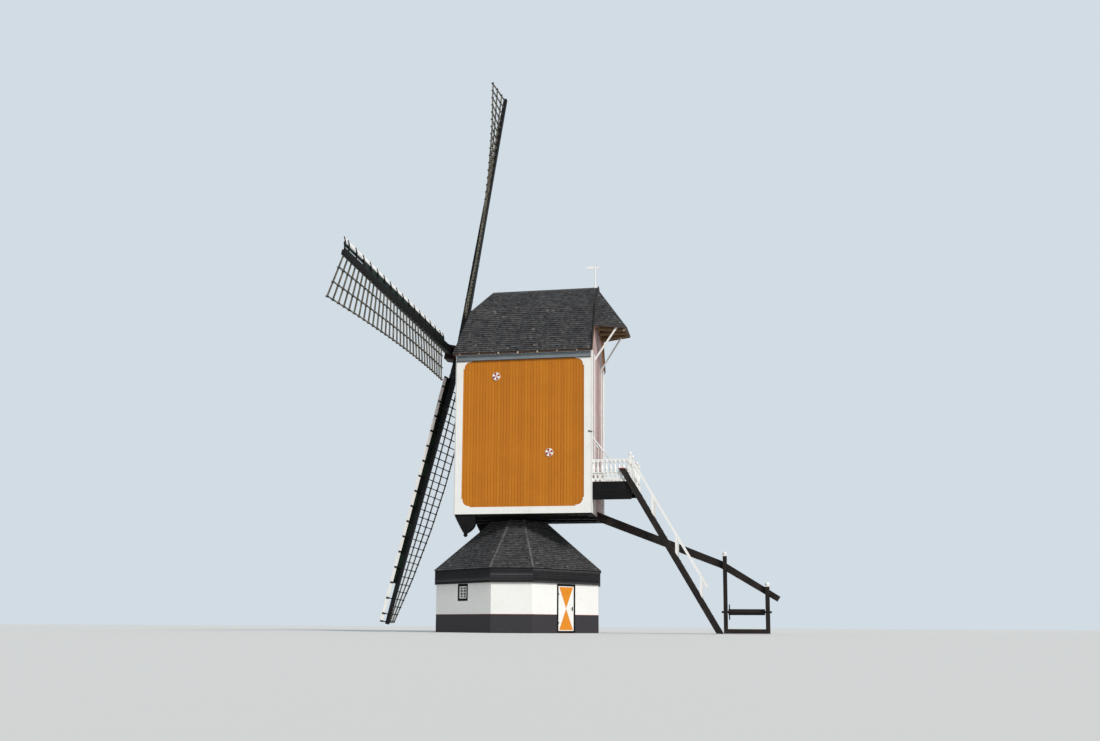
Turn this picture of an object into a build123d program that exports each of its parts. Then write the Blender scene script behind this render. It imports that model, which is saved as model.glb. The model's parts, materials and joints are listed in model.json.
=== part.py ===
from build123d import *
import os
from math import atan2, cos, degrees, hypot, radians, sin, sqrt

os.makedirs("parts", exist_ok=True)

# A closed post mill. The body, or buck, hangs on one great post and is turned into the wind
# by its tail pole. The post stands on cross trees and piers inside a low eight-sided base house.
# Millimetres. The post's axis is the Z axis and the ground is z = 0. The sails face -Y, the
# stair, balcony and tail pole run to +Y.

# Base house: a square with its corners cut off, turned a little against the body
base_turn = 7.0
narrow_face_distance = 3550.0
narrow_face_half_width = 854.0
base_wall = 230.0
base_wall_top = 2660.0
base_floor = 60.0
fascia_bottom = 2070.0
fascia_thickness = 85.0
base_eave_overhang = 95.0
base_roof_seat = 100.0
base_roof_top = 4880.0
base_roof_top_distance = 1150.0
base_roof_mouth_distance = 900.0

# Door and windows of the base house
door_opening_width = 1060.0
door_opening_top = 2060.0
door_frame_width = 90.0
door_frame_depth = 150.0
door_sill = 90.0
door_clearance = 6.0
door_thickness = 55.0
hinge_pin_radius = 9.0
hinge_eye_radius = 20.0
hinge_fit = 0.3
hinge_heights = (480.0, 1680.0)
hinge_strap_length = 620.0
hinge_strap_height = 60.0
hinge_strap_thickness = 12.0
window_width = 700.0
window_bottom = 1330.0
window_top = 2060.0
window_frame_width = 60.0
window_frame_depth = 110.0
glass_thickness = 6.0

# Post and its trestle
pier_side = 700.0
lower_pier_top = 980.0
tree_height = 420.0
tree_width = 380.0
tree_half_length = 3150.0
post_side = 760.0
post_radius = 330.0
saddle_bottom = 4330.0
saddle_top = 4860.0
quarter_bar_side = 300.0
quarter_bar_foot = 2550.0

# Body of the mill
body_width = 4200.0
body_front = -2440.0
body_rear = 3540.0
body_bottom = 5070.0
body_top = 12190.0
body_wall = 110.0
body_floor = 60.0
post_hole_clearance = 40.0
sill_depth = 60.0
sill_width = 260.0
sill_inset = 40.0
carry_beam_depth = 130.0
carry_beam_width = 260.0
carry_beam_offset = 620.0
end_beam_depth = 60.0
crown_bottom = 8600.0
crown_height = 640.0
crown_width = 620.0
bearing_gap = 0.3

# Curved corbels under the front corners, from the frame's front lower corner, and their ball drop
corbel_curves = (
    ((0, 0), (930, 0)),
    ((930, 0), (880, -420)),
    ((880, -420), (720, -630), (530, -750)),
    ((530, -750), (400, -750)),
    ((400, -750), (240, -470), (0, 0)),
)
corbel_drop = (465.0, -820.0)
corbel_drop_radius = 90.0

# White frames and eave boards on the side walls
trim_thickness = 35.0
trim_side = 300.0
trim_bottom = 300.0
trim_top = 11870.0
trim_corner = 370.0
trim_corner_step = 50.0
trim_corner_radius = 280.0
eave_board_thickness = 60.0
hatch_radius = 175.0
hatch_thickness = 45.0
hatch_places = ((-650.0, 11130.0), (1730.0, 7700.0))

# Roof of the body: steep below the knee, flatter above it, sloped back at the front
eave_half_width = 2280.0
eave_front = -2600.0
knee_half_width = 1200.0
knee_front = -2080.0
knee_height = 14400.0
ridge_height = 15610.0
ridge_front = -1340.0
roof_rear = 3600.0
roof_thickness = 170.0

# Hood over the rear gable
hood_top = 15530.0
hood_bottom = 13460.0
hood_wall_half_width = 1450.0
hood_rear_half_width = 800.0
hood_rear = 4940.0
hood_thickness = 90.0
hood_brace_foot = (1050.0, 11950.0)
hood_brace_head = (900.0, 4560.0)
hood_brace_side = 70.0

# Rear doorway and balcony
rear_door_width = 860.0
rear_door_bottom = 6420.0
rear_door_height = 1800.0
rear_door_thickness = 50.0
rear_frame_width = 80.0
balcony_rear = 5260.0
balcony_top = 6400.0
balcony_deck = 60.0
balcony_girder_bottom = 5630.0
balcony_rim_bottom = 6160.0
balcony_board = 60.0
balcony_half_width = 2060.0
rail_top = 7370.0
rail_height = 70.0
rail_width = 70.0
foot_rail_height = 90.0
rail_post_side = 110.0
rail_post_top = 7520.0
ball_radius = 62.0
baluster_side = 60.0
baluster_pitch = 205.0

# Stair: its outer string lies outside the balcony
stair_width = 1180.0
string_width = 90.0
string_depth = 245.0
string_top = (4870.0, 6950.0)
string_foot = (8860.0, 20.0)
tread_count = 23
tread_rise = 256.0
tread_going = 200.0
tread_set_back = 60.0
tread_thickness = 45.0
stair_rail_height = 820.0
stair_rail_side = 95.0
stair_post_side = 90.0
stair_post_places = (0.32, 0.565, 0.815)

# Tail pole and winch
tail_root_height = 5110.0
tail_root_side = 380.0
tail_bend = (8950.0, 2960.0)
tail_bend_side = 300.0
tail_end = (11330.0, 1480.0)
tail_end_side = 240.0
winch_post_side = 170.0
winch_post_gap = 330.0
winch_front_post = (9080.0, 3330.0)
winch_rear_post = (10850.0, 2020.0)
winch_collar_drop = 330.0
winch_collar_height = 560.0
winch_base_bottom = 20.0
winch_base_height = 190.0
winch_axle_height = 930.0
winch_axle_radius = 45.0
winch_bearing_fit = 0.3
winch_bearing_height = 240.0
winch_drum_radius = 130.0
winch_wheel_radius = 330.0
winch_wheel_width = 90.0
winch_handle_radius = 24.0

# Wind vane on the ridge
vane_place = 3430.0
vane_rod_radius = 32.0
vane_rod_length = 900.0
vane_rise = 80.0
vane_length = 420.0
vane_fit = 0.3

# Windshaft and sails. Each sail leans forward a little from the poll, and its trailing edge
# stands back from the stock near the poll and forward of it at the tip
hub_front = -3085.0
hub_rise = 570.0
shaft_tilt = 11.4
sail_turn = 1.35
sail_lean = 2.45
shaft_radius = 270.0
shaft_length = 5090.0
poll_side = 680.0
poll_front = 420.0
poll_rear = -400.0
neck_bearing_place = 1110.0
tail_bearing_place = 4740.0
bearing_length = 330.0
bearing_half_width = 700.0
bearing_beam_depth = 720.0
shaft_hole_clearance = 45.0
sail_radius = 12760.0
stock_width = 330.0
stock_depth = 300.0
stock_tip_width = 190.0
stock_tip_depth = 150.0
front_stock_place = 160.0
rear_stock_place = -170.0
bar_count = 32
first_bar = 1700.0
last_bar = 12660.0
bar_width = 36.0
bar_depth = 56.0
lattice_width = 1630.0
long_bar_count = 3
long_bar_knots = (0, 6, 12, 18, 25, 31)
long_bar_end = 60.0
inner_twist = -384.0
outer_twist = 260.0
middle_twist = -327.0
windboard_width = 590.0
windboard_inner_lead = 245.0
windboard_outer_lead = 180.0
windboard_thickness = 32.0
windboard_start = 1250.0


def save(piece, name):
    """Label a finished piece and write it."""
    piece.part.label = name
    export_step(piece.part, f"parts/{name}.step")


def beam(start, end, width, depth, side=(1, 0, 0)):
    """A straight square-cut timber between two points: width along side, depth across it."""
    run = Vector(*end) - Vector(*start)
    with BuildSketch(Plane(origin=start, x_dir=side, z_dir=run)) as section:
        Rectangle(width, depth)
    return extrude(section.sketch, amount=run.length)


def section_corners(plane, width, depth):
    """Corners of a rectangle drawn about the origin of a plane."""
    ends = ((1, 1), (-1, 1), (-1, -1), (1, -1))
    return [plane.from_local_coords((x * width / 2, y * depth / 2)) for x, y in ends]


def flat_sided(sections):
    """A solid through sections of as many corners each, with flat sides between them."""
    faces = [Face(Wire.make_polygon(corners, close=True)) for corners in (sections[0], sections[-1])]
    for one, other in zip(sections, sections[1:]):
        for index in range(len(one)):
            following = (index + 1) % len(one)
            corners = (one[index], one[following], other[following], other[index])
            faces.append(Face(Wire.make_polygon(corners, close=True)))
    return Solid(Shell(faces))


def tapered_beam(start, end, start_side, end_side, side=(1, 0, 0)):
    """A square timber whose thickness changes from one end to the other."""
    run = Vector(*end) - Vector(*start)
    first = Plane(origin=start, x_dir=side, z_dir=run)
    last = Plane(origin=end, x_dir=side, z_dir=run)
    return flat_sided([section_corners(first, start_side, start_side), section_corners(last, end_side, end_side)])


def ball(centre, radius):
    """A ball with eight flat sides that narrow above and below its middle."""
    with BuildPart(mode=Mode.PRIVATE) as piece:
        with BuildSketch(Plane(origin=centre)):
            RegularPolygon(radius, 8)
        extrude(amount=radius * 0.8, both=True, taper=30)
    return piece.part


# Base house
base = Plane.XY.rotated((0, 0, base_turn))
long_face_distance = (narrow_face_distance + narrow_face_half_width) / sqrt(2)
base_height = base_wall_top - base_floor


def base_corners(distance, scale=1.0):
    """Corners of the base's outline where its narrow faces lie at a distance from the post."""
    half = narrow_face_half_width + (distance - narrow_face_distance) * (sqrt(2) - 1)
    corners = []
    for turn in range(4):
        for x, y in ((distance, -half), (distance, half)):
            angle = radians(90 * turn)
            corners.append((scale * (x * cos(angle) - y * sin(angle)), scale * (x * sin(angle) + y * cos(angle))))
    return corners


def wall_segment(index):
    """One straight wall of the base, with its ends mitred to its neighbours."""
    outer = base_corners(narrow_face_distance)
    inner = base_corners(narrow_face_distance - base_wall)
    following = (index + 1) % 8
    with BuildSketch(base) as plan:
        with BuildLine():
            Polyline(outer[index], outer[following], inner[following], inner[index], close=True)
        make_face()
    return extrude(plan.sketch, amount=base_wall_top)


def face_plane(angle):
    """Upright plane on a long face: X along the wall, Y up, Z outwards."""
    normal = Vector(cos(radians(angle + base_turn)), sin(radians(angle + base_turn)), 0)
    return Plane(origin=normal * long_face_distance, x_dir=Vector(0, 0, 1).cross(normal), z_dir=normal)


door_face = face_plane(45)
window_faces = (face_plane(-45), face_plane(135), face_plane(225))

with BuildPart() as base_floor_slab:
    with BuildSketch(base):
        with BuildLine():
            Polyline(*base_corners(narrow_face_distance - base_wall), close=True)
        make_face()
    extrude(amount=base_floor)
save(base_floor_slab, "base_floor")

with BuildPart() as narrow_walls:
    for index in (0, 2, 4, 6):
        wall_segment(index)
save(narrow_walls, "base_narrow_walls")

with BuildPart() as window_walls:
    for index, face in zip((7, 3, 5), window_faces):
        wall_segment(index)
        with BuildSketch(face):
            with Locations((0, (window_bottom + window_top) / 2)):
                Rectangle(window_width, window_top - window_bottom)
        extrude(amount=-base_wall, mode=Mode.SUBTRACT)
save(window_walls, "base_window_walls")

with BuildPart() as door_walls:
    wall_segment(1)
    with BuildSketch(door_face):
        with Locations((0, base_wall_top / 2)):
            Rectangle(door_opening_width, base_wall_top)
    extrude(amount=-base_wall, mode=Mode.SUBTRACT)
save(door_walls, "base_door_walls")

with BuildPart() as door_head_wall:
    with BuildSketch(door_face):
        with Locations((0, (door_opening_top + base_wall_top) / 2)):
            Rectangle(door_opening_width, base_wall_top - door_opening_top)
    extrude(amount=-base_wall)
save(door_head_wall, "base_wall_over_door")

with BuildPart() as fascia:
    with BuildSketch(base.offset(fascia_bottom)):
        with BuildLine():
            Polyline(*base_corners(narrow_face_distance + fascia_thickness), close=True)
        make_face()
        with BuildLine():
            Polyline(*base_corners(narrow_face_distance), close=True)
        make_face(mode=Mode.SUBTRACT)
    extrude(amount=base_wall_top - fascia_bottom)
save(fascia, "base_fascia")


def roof_frustum(eave_distance, top_distance):
    """Eight-sided pyramid without its top, from the wall's top to the roof's mouth."""
    eave = base.offset(base_wall_top)
    top = base.offset(base_roof_top)
    return flat_sided(
        [
            [eave.from_local_coords(corner) for corner in base_corners(eave_distance)],
            [
                top.from_local_coords(corner)
                for corner in base_corners(eave_distance, top_distance / eave_distance)
            ],
        ]
    )


with BuildPart() as base_roof:
    add(roof_frustum(narrow_face_distance + base_eave_overhang, base_roof_top_distance))
    add(
        roof_frustum(narrow_face_distance - base_roof_seat, base_roof_mouth_distance),
        mode=Mode.SUBTRACT,
    )
save(base_roof, "base_roof")

# Door frame with a pintle at each hinge height, and the door that hangs on them
leaf_width = door_opening_width - 2 * (door_frame_width + door_clearance)
leaf_bottom = door_sill + door_clearance
leaf_height = door_opening_top - door_frame_width - door_clearance - leaf_bottom
pin_line = -leaf_width / 2 - door_clearance / 2
pin_depth = hinge_eye_radius + 2
eye_height = hinge_strap_height
pintle_height = 40.0


def at_face(face, across, up, out):
    """A level plane through a point given across, up and out of an upright face."""
    return Plane(origin=face.from_local_coords(Vector(across, up, out)), x_dir=face.x_dir, z_dir=(0, 0, 1))


with BuildPart() as door_frame:
    with BuildSketch(door_face):
        with Locations((0, door_opening_top / 2)):
            Rectangle(door_opening_width, door_opening_top)
        with Locations((0, (door_sill + door_opening_top - door_frame_width) / 2)):
            Rectangle(
                door_opening_width - 2 * door_frame_width,
                door_opening_top - door_frame_width - door_sill,
                mode=Mode.SUBTRACT,
            )
    extrude(amount=-door_frame_depth)
    for height in hinge_heights:
        pintle_top = height - eye_height / 2 - hinge_fit
        with BuildSketch(at_face(door_face, pin_line, pintle_top - pintle_height, 0)):
            with Locations((-hinge_eye_radius, -pin_depth / 2)):
                Rectangle(2 * hinge_eye_radius, pin_depth)
            with Locations((0, -pin_depth)):
                Circle(hinge_eye_radius)
        extrude(amount=pintle_height)
        with BuildSketch(at_face(door_face, pin_line, pintle_top, pin_depth)):
            Circle(hinge_pin_radius)
        extrude(amount=eye_height + 4)
save(door_frame, "base_door_frame")

with BuildPart() as door_leaf:
    with BuildSketch(door_face):
        with Locations((0, leaf_bottom + leaf_height / 2)):
            Rectangle(leaf_width, leaf_height)
    extrude(amount=-door_thickness)
save(door_leaf, "base_door_leaf")

with BuildPart() as door_straps:
    for height in hinge_heights:
        with BuildSketch(at_face(door_face, pin_line, height - eye_height / 2, pin_depth)):
            Circle(hinge_eye_radius)
            with Locations((hinge_strap_length / 2, pin_depth - hinge_strap_thickness / 2)):
                Rectangle(hinge_strap_length, hinge_strap_thickness)
            with Locations((hinge_eye_radius / 2 + 4, pin_depth / 2 + 1)):
                Rectangle(hinge_eye_radius, pin_depth - 4)
            Circle(hinge_pin_radius + hinge_fit, mode=Mode.SUBTRACT)
        extrude(amount=eye_height)
save(door_straps, "base_door_straps")

with BuildPart() as window_frames:
    for face in window_faces:
        with BuildSketch(face):
            with Locations((0, (window_bottom + window_top) / 2)):
                Rectangle(window_width, window_top - window_bottom)
                Rectangle(
                    window_width - 2 * window_frame_width,
                    window_top - window_bottom - 2 * window_frame_width,
                    mode=Mode.SUBTRACT,
                )
        extrude(amount=-window_frame_depth)
save(window_frames, "base_window_frames")

with BuildPart() as window_glass:
    for face in window_faces:
        with BuildSketch(face.offset(-window_frame_depth / 2)):
            with Locations((0, (window_bottom + window_top) / 2)):
                Rectangle(
                    window_width - 2 * window_frame_width,
                    window_top - window_bottom - 2 * window_frame_width,
                )
        extrude(amount=-glass_thickness)
save(window_glass, "base_window_glass")

# Trestle: piers, cross trees, quarter bars, post and saddle
upper_pier_top = lower_pier_top + tree_height
post_bottom = upper_pier_top + tree_height
pier_distance = tree_half_length - pier_side / 2

with BuildPart() as piers:
    with BuildSketch(base.offset(base_floor)):
        with Locations((pier_distance, 0), (-pier_distance, 0)):
            Rectangle(pier_side, pier_side)
    extrude(amount=lower_pier_top - base_floor)
    with BuildSketch(base.offset(base_floor)):
        with Locations((0, pier_distance), (0, -pier_distance)):
            Rectangle(pier_side, pier_side)
    extrude(amount=upper_pier_top - base_floor)
save(piers, "base_piers")

with BuildPart() as trestle:
    with BuildSketch(base.offset(lower_pier_top)):
        Rectangle(2 * tree_half_length, tree_width)
    extrude(amount=tree_height)
    with BuildSketch(base.offset(upper_pier_top)):
        Rectangle(tree_width, 2 * tree_half_length)
    extrude(amount=tree_height)
    for turn, tree_top in ((0, upper_pier_top), (90, post_bottom), (180, upper_pier_top), (270, post_bottom)):
        direction = Vector(1, 0, 0).rotate(Axis.Z, base_turn + turn)
        across = Vector(0, 1, 0).rotate(Axis.Z, base_turn + turn)
        foot = direction * quarter_bar_foot + Vector(0, 0, tree_top - quarter_bar_side)
        head = direction * (post_side / 2 - quarter_bar_side) + Vector(0, 0, saddle_bottom - quarter_bar_side)
        with BuildPart(mode=Mode.PRIVATE) as bar:
            beam(tuple(foot), tuple(head), quarter_bar_side, quarter_bar_side, tuple(across))
            split(bisect_by=Plane(origin=(0, 0, tree_top), z_dir=(0, 0, 1)), keep=Keep.TOP)
            split(bisect_by=Plane(origin=tuple(direction * post_side / 2), z_dir=tuple(direction)))
        add(bar.part)
save(trestle, "trestle")

with BuildPart() as main_post:
    with BuildSketch(base.offset(post_bottom)):
        Rectangle(post_side, post_side)
    extrude(amount=saddle_bottom - post_bottom)
    chamfer(main_post.edges().filter_by(Axis.Z), length=80)
    with BuildSketch(base.offset(saddle_bottom)):
        Circle(post_radius)
    extrude(amount=crown_bottom - bearing_gap - saddle_bottom)
save(main_post, "main_post")

with BuildPart() as saddle:
    with BuildSketch(base.offset(saddle_bottom)):
        with BuildLine():
            Polyline(*base_corners(narrow_face_distance, (base_roof_mouth_distance - 15) / narrow_face_distance), close=True)
        make_face()
        Circle(post_radius, mode=Mode.SUBTRACT)
    extrude(amount=saddle_top - saddle_bottom)
save(saddle, "post_saddle")

# Body: bottom frame, floor, crown tree and walls
body_length = body_rear - body_front
body_middle = (body_rear + body_front) / 2
half_width = body_width / 2
inner_half_width = half_width - body_wall
sill_outer = half_width - sill_inset

with BuildPart() as bottom_frame:
    with BuildSketch(Plane.XY.offset(body_bottom)):
        with Locations((sill_outer - sill_width / 2, body_middle), (sill_width / 2 - sill_outer, body_middle)):
            Rectangle(sill_width, body_length)
    extrude(amount=-sill_depth)
    with BuildSketch(Plane.XY.offset(body_bottom)):
        with Locations((0, body_front + sill_width / 2), (0, body_rear - sill_width / 2)):
            Rectangle(2 * sill_outer, sill_width)
    extrude(amount=-end_beam_depth)
    with BuildSketch(Plane.XY.offset(body_bottom)):
        with Locations((carry_beam_offset, body_middle), (-carry_beam_offset, body_middle)):
            Rectangle(carry_beam_width, body_length)
    extrude(amount=-carry_beam_depth)
    frame_bottom = body_bottom - sill_depth
    for side in (1, -1):
        with BuildSketch(Plane.YZ.offset(side * sill_outer)):
            with BuildLine():
                for points in corbel_curves:
                    drawn = [(body_front + y, frame_bottom + z) for y, z in points]
                    if len(drawn) == 2:
                        Line(*drawn)
                    else:
                        ThreePointArc(*drawn)
            make_face()
        extrude(amount=-side * sill_width)
        drop_place = (side * (sill_outer - sill_width / 2), body_front + corbel_drop[0], frame_bottom + corbel_drop[1])
        add(ball(drop_place, corbel_drop_radius))
save(bottom_frame, "body_bottom_frame")

with BuildPart() as body_floor_boards:
    with BuildSketch(Plane.XY.offset(body_bottom)):
        with Locations((0, body_middle)):
            Rectangle(2 * inner_half_width, body_length - 2 * body_wall)
        Circle(post_radius + post_hole_clearance, mode=Mode.SUBTRACT)
    extrude(amount=body_floor)
save(body_floor_boards, "body_floor")

with BuildPart() as crown_tree:
    with BuildSketch(Plane.XY.offset(crown_bottom)):
        Rectangle(2 * inner_half_width, crown_width)
    extrude(amount=crown_height)
    chamfer(crown_tree.edges().filter_by(Axis.X), length=60)
save(crown_tree, "crown_tree")

with BuildPart() as side_walls:
    wall_line = half_width - body_wall / 2
    with BuildSketch(Plane.XY.offset(body_bottom)):
        with Locations((wall_line, body_middle), (-wall_line, body_middle)):
            Rectangle(body_wall, body_length)
    extrude(amount=body_top - body_bottom)
save(side_walls, "body_side_walls")

rear_opening_width = rear_door_width + 2 * rear_frame_width
rear_opening_height = rear_door_height + rear_frame_width
with BuildPart() as end_walls:
    with BuildSketch(Plane.XY.offset(body_bottom)):
        with Locations((0, body_front + body_wall / 2), (0, body_rear - body_wall / 2)):
            Rectangle(2 * inner_half_width, body_wall)
    extrude(amount=body_top - body_bottom)
    with BuildSketch(Plane.XZ.offset(-body_rear)):
        with Locations((0, rear_door_bottom + rear_opening_height / 2)):
            Rectangle(rear_opening_width, rear_opening_height)
    extrude(amount=body_wall, mode=Mode.SUBTRACT)
save(end_walls, "body_end_walls")

with BuildPart() as rear_door_frame:
    with BuildSketch(Plane.XZ.offset(-body_rear)):
        with Locations((0, rear_door_bottom + rear_opening_height / 2)):
            Rectangle(rear_opening_width, rear_opening_height)
        with Locations((0, rear_door_bottom + rear_door_height / 2)):
            Rectangle(rear_door_width, rear_door_height, mode=Mode.SUBTRACT)
    extrude(amount=body_wall)
save(rear_door_frame, "rear_door_frame")

with BuildPart() as rear_door:
    with BuildSketch(Plane.XZ.offset(-body_rear + body_wall / 4)):
        with Locations((0, rear_door_bottom + rear_door_height / 2)):
            Rectangle(rear_door_width, rear_door_height)
    extrude(amount=rear_door_thickness)
save(rear_door, "rear_door")

# White frames, eave boards and round hatches on both sides
trim_height = trim_top - body_bottom
panel_length = body_length - 2 * trim_side
panel_height = trim_height - trim_bottom
with BuildPart() as trims:
    for side in (1, -1):
        with BuildSketch(Plane.YZ.offset(side * half_width)):
            with Locations((body_middle, body_bottom + trim_height / 2)):
                Rectangle(body_length, trim_height)
            with Locations((body_middle, trim_top - panel_height / 2)):
                Rectangle(panel_length, panel_height - 2 * trim_corner, mode=Mode.SUBTRACT)
                Rectangle(panel_length - 2 * trim_corner, panel_height, mode=Mode.SUBTRACT)
                RectangleRounded(
                    panel_length - 2 * trim_corner_step,
                    panel_height - 2 * trim_corner_step,
                    trim_corner_radius,
                    mode=Mode.SUBTRACT,
                )
        extrude(amount=side * trim_thickness)
        with BuildSketch(Plane.YZ.offset(side * half_width)):
            with Locations((body_middle, (trim_top + body_top) / 2)):
                Rectangle(body_length, body_top - trim_top)
        extrude(amount=side * eave_board_thickness)
save(trims, "body_trims")

with BuildPart() as hatches:
    for side in (1, -1):
        with BuildSketch(Plane.YZ.offset(side * half_width)):
            with Locations(*hatch_places):
                RegularPolygon(hatch_radius, 16)
        extrude(amount=side * hatch_thickness)
save(hatches, "round_hatches")

# Roof of the body
lower_front = Plane(
    origin=(0, eave_front, body_top),
    x_dir=(1, 0, 0),
    z_dir=(0, body_top - knee_height, knee_front - eave_front),
)
upper_front = Plane(
    origin=(0, knee_front, knee_height),
    x_dir=(1, 0, 0),
    z_dir=(0, knee_height - ridge_height, ridge_front - knee_front),
)


def gambrel():
    """Points of the roof's section, from one eave over the ridge to the other."""
    return (
        (-eave_half_width, body_top),
        (-knee_half_width, knee_height),
        (0, ridge_height),
        (knee_half_width, knee_height),
        (eave_half_width, body_top),
    )


def roof_block(inset):
    """The roof's outer form, or the loft inside it when inset is its thickness."""
    with BuildSketch(Plane.XZ.offset(-roof_rear)) as section:
        with BuildLine():
            Polyline(*gambrel(), close=True)
        make_face()
        if inset > 0:
            offset(amount=-inset, kind=Kind.INTERSECTION)
            with Locations((0, body_top + inset)):
                Rectangle(2 * inner_half_width, 2 * inset)
    with BuildPart() as block:
        extrude(section.sketch, amount=roof_rear - eave_front)
        split(bisect_by=lower_front.offset(-inset), keep=Keep.BOTTOM)
        split(bisect_by=upper_front.offset(-inset), keep=Keep.BOTTOM)
    return block.part


with BuildPart() as roof_shell:
    add(roof_block(0))
    add(roof_block(roof_thickness), mode=Mode.SUBTRACT)

with BuildPart() as front_plan:
    with BuildSketch(Plane.XY.offset(body_top - roof_thickness)):
        with BuildLine():
            Polyline(
                (-eave_half_width, eave_front),
                (-knee_half_width, knee_front),
                (0, ridge_front),
                (knee_half_width, knee_front),
                (eave_half_width, eave_front),
                close=True,
            )
        make_face()
    extrude(amount=ridge_height - body_top + 2 * roof_thickness)

tilt = radians(shaft_tilt)
sails = Plane(
    origin=(0, hub_front, body_top + hub_rise),
    x_dir=(1, 0, 0),
    z_dir=(0, -cos(tilt), sin(tilt)),
)


def arm_plane(place, turn, lean=sail_lean):
    """Frame of one sail: X out along its stock, Y to its leading side, Z facing the wind."""
    angle = radians(90 + sail_turn + turn)
    out = sails.x_dir * cos(angle) + sails.y_dir * sin(angle)
    forward = sails.z_dir * cos(radians(lean)) - out * sin(radians(lean))
    out = out * cos(radians(lean)) + sails.z_dir * sin(radians(lean))
    return Plane(origin=sails.origin + sails.z_dir * place, x_dir=out, z_dir=forward)


with BuildPart() as roof_front:
    add(roof_shell.part)
    add(front_plan.part, mode=Mode.INTERSECT)
    with BuildSketch(sails):
        Circle(shaft_radius + shaft_hole_clearance)
    extrude(amount=-shaft_length, mode=Mode.SUBTRACT)
save(roof_front, "roof_front")

for name, kept in (("roof_right", Keep.TOP), ("roof_left", Keep.BOTTOM)):
    with BuildPart() as roof_side:
        add(roof_shell.part)
        add(front_plan.part, mode=Mode.SUBTRACT)
        split(bisect_by=Plane.YZ, keep=kept)
    save(roof_side, name)

with BuildPart() as rear_gable:
    with BuildSketch(Plane.XZ.offset(-body_rear)):
        with BuildLine():
            Polyline(*gambrel(), close=True)
        make_face()
        offset(amount=-roof_thickness, kind=Kind.INTERSECTION)
        with Locations((0, body_top + roof_thickness)):
            Rectangle(2 * inner_half_width, 2 * roof_thickness)
    extrude(amount=body_wall)
save(rear_gable, "rear_gable")


# Hood
def hood_block(inset):
    """The hood's outer form, or the space under it when inset is its thickness."""
    top = Vector(0, body_rear, hood_top)
    rear_corner = Vector(hood_rear_half_width, hood_rear, hood_bottom)
    wall_corner = Vector(hood_wall_half_width, body_rear, hood_bottom)
    rear_normal = (rear_corner - top).cross(Vector(-1, 0, 0))
    side_normal = (rear_corner - top).cross(wall_corner - top)
    with BuildPart() as block:
        with BuildSketch(Plane.XY.offset(hood_bottom)):
            with Locations((0, (body_rear + hood_rear) / 2)):
                Rectangle(2 * hood_wall_half_width, hood_rear - body_rear)
        extrude(amount=hood_top - hood_bottom)
        split(bisect_by=Plane(origin=top, z_dir=rear_normal).offset(-inset), keep=Keep.BOTTOM)
        for side in (1, -1):
            normal = Vector(abs(side_normal.X) * side, abs(side_normal.Y), abs(side_normal.Z))
            split(bisect_by=Plane(origin=top, z_dir=normal).offset(-inset), keep=Keep.BOTTOM)
    return block.part


with BuildPart() as hood:
    add(hood_block(0))
    add(hood_block(hood_thickness), mode=Mode.SUBTRACT)
    add(roof_shell.part, mode=Mode.SUBTRACT)
save(hood, "rear_hood")

with BuildPart() as hood_braces:
    for side in (1, -1):
        foot = (side * hood_brace_foot[0], body_rear, hood_brace_foot[1])
        head = (side * hood_brace_head[0], hood_brace_head[1], hood_bottom + hood_brace_side)
        with BuildPart(mode=Mode.PRIVATE) as brace:
            beam(foot, head, hood_brace_side, hood_brace_side)
            split(bisect_by=Plane.XZ.offset(-body_rear), keep=Keep.BOTTOM)
            split(bisect_by=Plane.XY.offset(hood_bottom), keep=Keep.BOTTOM)
        add(brace.part)
save(hood_braces, "hood_braces")

# Balcony
deck_length = balcony_rear - body_rear
deck_middle = (balcony_rear + body_rear) / 2

with BuildPart() as balcony_frame:
    with BuildSketch(Plane.XY.offset(balcony_rim_bottom)):
        with Locations((0, deck_middle)):
            Rectangle(2 * balcony_half_width, deck_length)
        with Locations((0, deck_middle - balcony_board / 2)):
            Rectangle(
                2 * (balcony_half_width - balcony_board),
                deck_length - balcony_board,
                mode=Mode.SUBTRACT,
            )
    extrude(amount=balcony_top - balcony_deck - balcony_rim_bottom)
    with BuildSketch(Plane.XY.offset(balcony_girder_bottom)):
        with Locations((balcony_half_width - balcony_board / 2, deck_middle)):
            Rectangle(balcony_board, deck_length)
    extrude(amount=balcony_top - balcony_girder_bottom)
    with BuildSketch(Plane.XY.offset(balcony_top - balcony_deck)):
        with Locations((0, deck_middle)):
            Rectangle(2 * balcony_half_width, deck_length)
    extrude(amount=balcony_deck)
save(balcony_frame, "balcony_frame")

rail_line = balcony_half_width - rail_post_side / 2
rear_rail_line = balcony_rear - rail_post_side / 2
gap_post = balcony_half_width - stair_width + string_width
post_places = (
    (rail_line, rear_rail_line),
    (gap_post, rear_rail_line),
    (-gap_post, rear_rail_line),
    (-rail_line, rear_rail_line),
)
rail_runs = (
    ((rail_line, body_rear), (rail_line, rear_rail_line)),
    ((-rail_line, body_rear), (-rail_line, rear_rail_line)),
    ((gap_post, rear_rail_line), (-rail_line, rear_rail_line)),
)
with BuildPart() as balustrade:
    for x, y in post_places:
        with Locations((x, y, balcony_top)):
            Box(
                rail_post_side,
                rail_post_side,
                rail_post_top - balcony_top,
                align=(Align.CENTER, Align.CENTER, Align.MIN),
            )
        add(ball((x, y, rail_post_top + ball_radius * 0.7), ball_radius))
    for (x1, y1), (x2, y2) in rail_runs:
        run = Vector(x2 - x1, y2 - y1, 0)
        across = tuple(run.normalized().cross(Vector(0, 0, 1)))
        for height, thickness in ((rail_top - rail_height / 2, rail_height), (balcony_top + foot_rail_height, 60)):
            beam((x1, y1, height), (x2, y2, height), rail_width, thickness, across)
        count = round(run.length / baluster_pitch)
        for step in range(1, count):
            place = Vector(x1, y1, balcony_top) + run * (step / count)
            with Locations(place):
                Box(
                    baluster_side,
                    baluster_side,
                    rail_top - rail_height - balcony_top,
                    align=(Align.CENTER, Align.CENTER, Align.MIN),
                )
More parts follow.
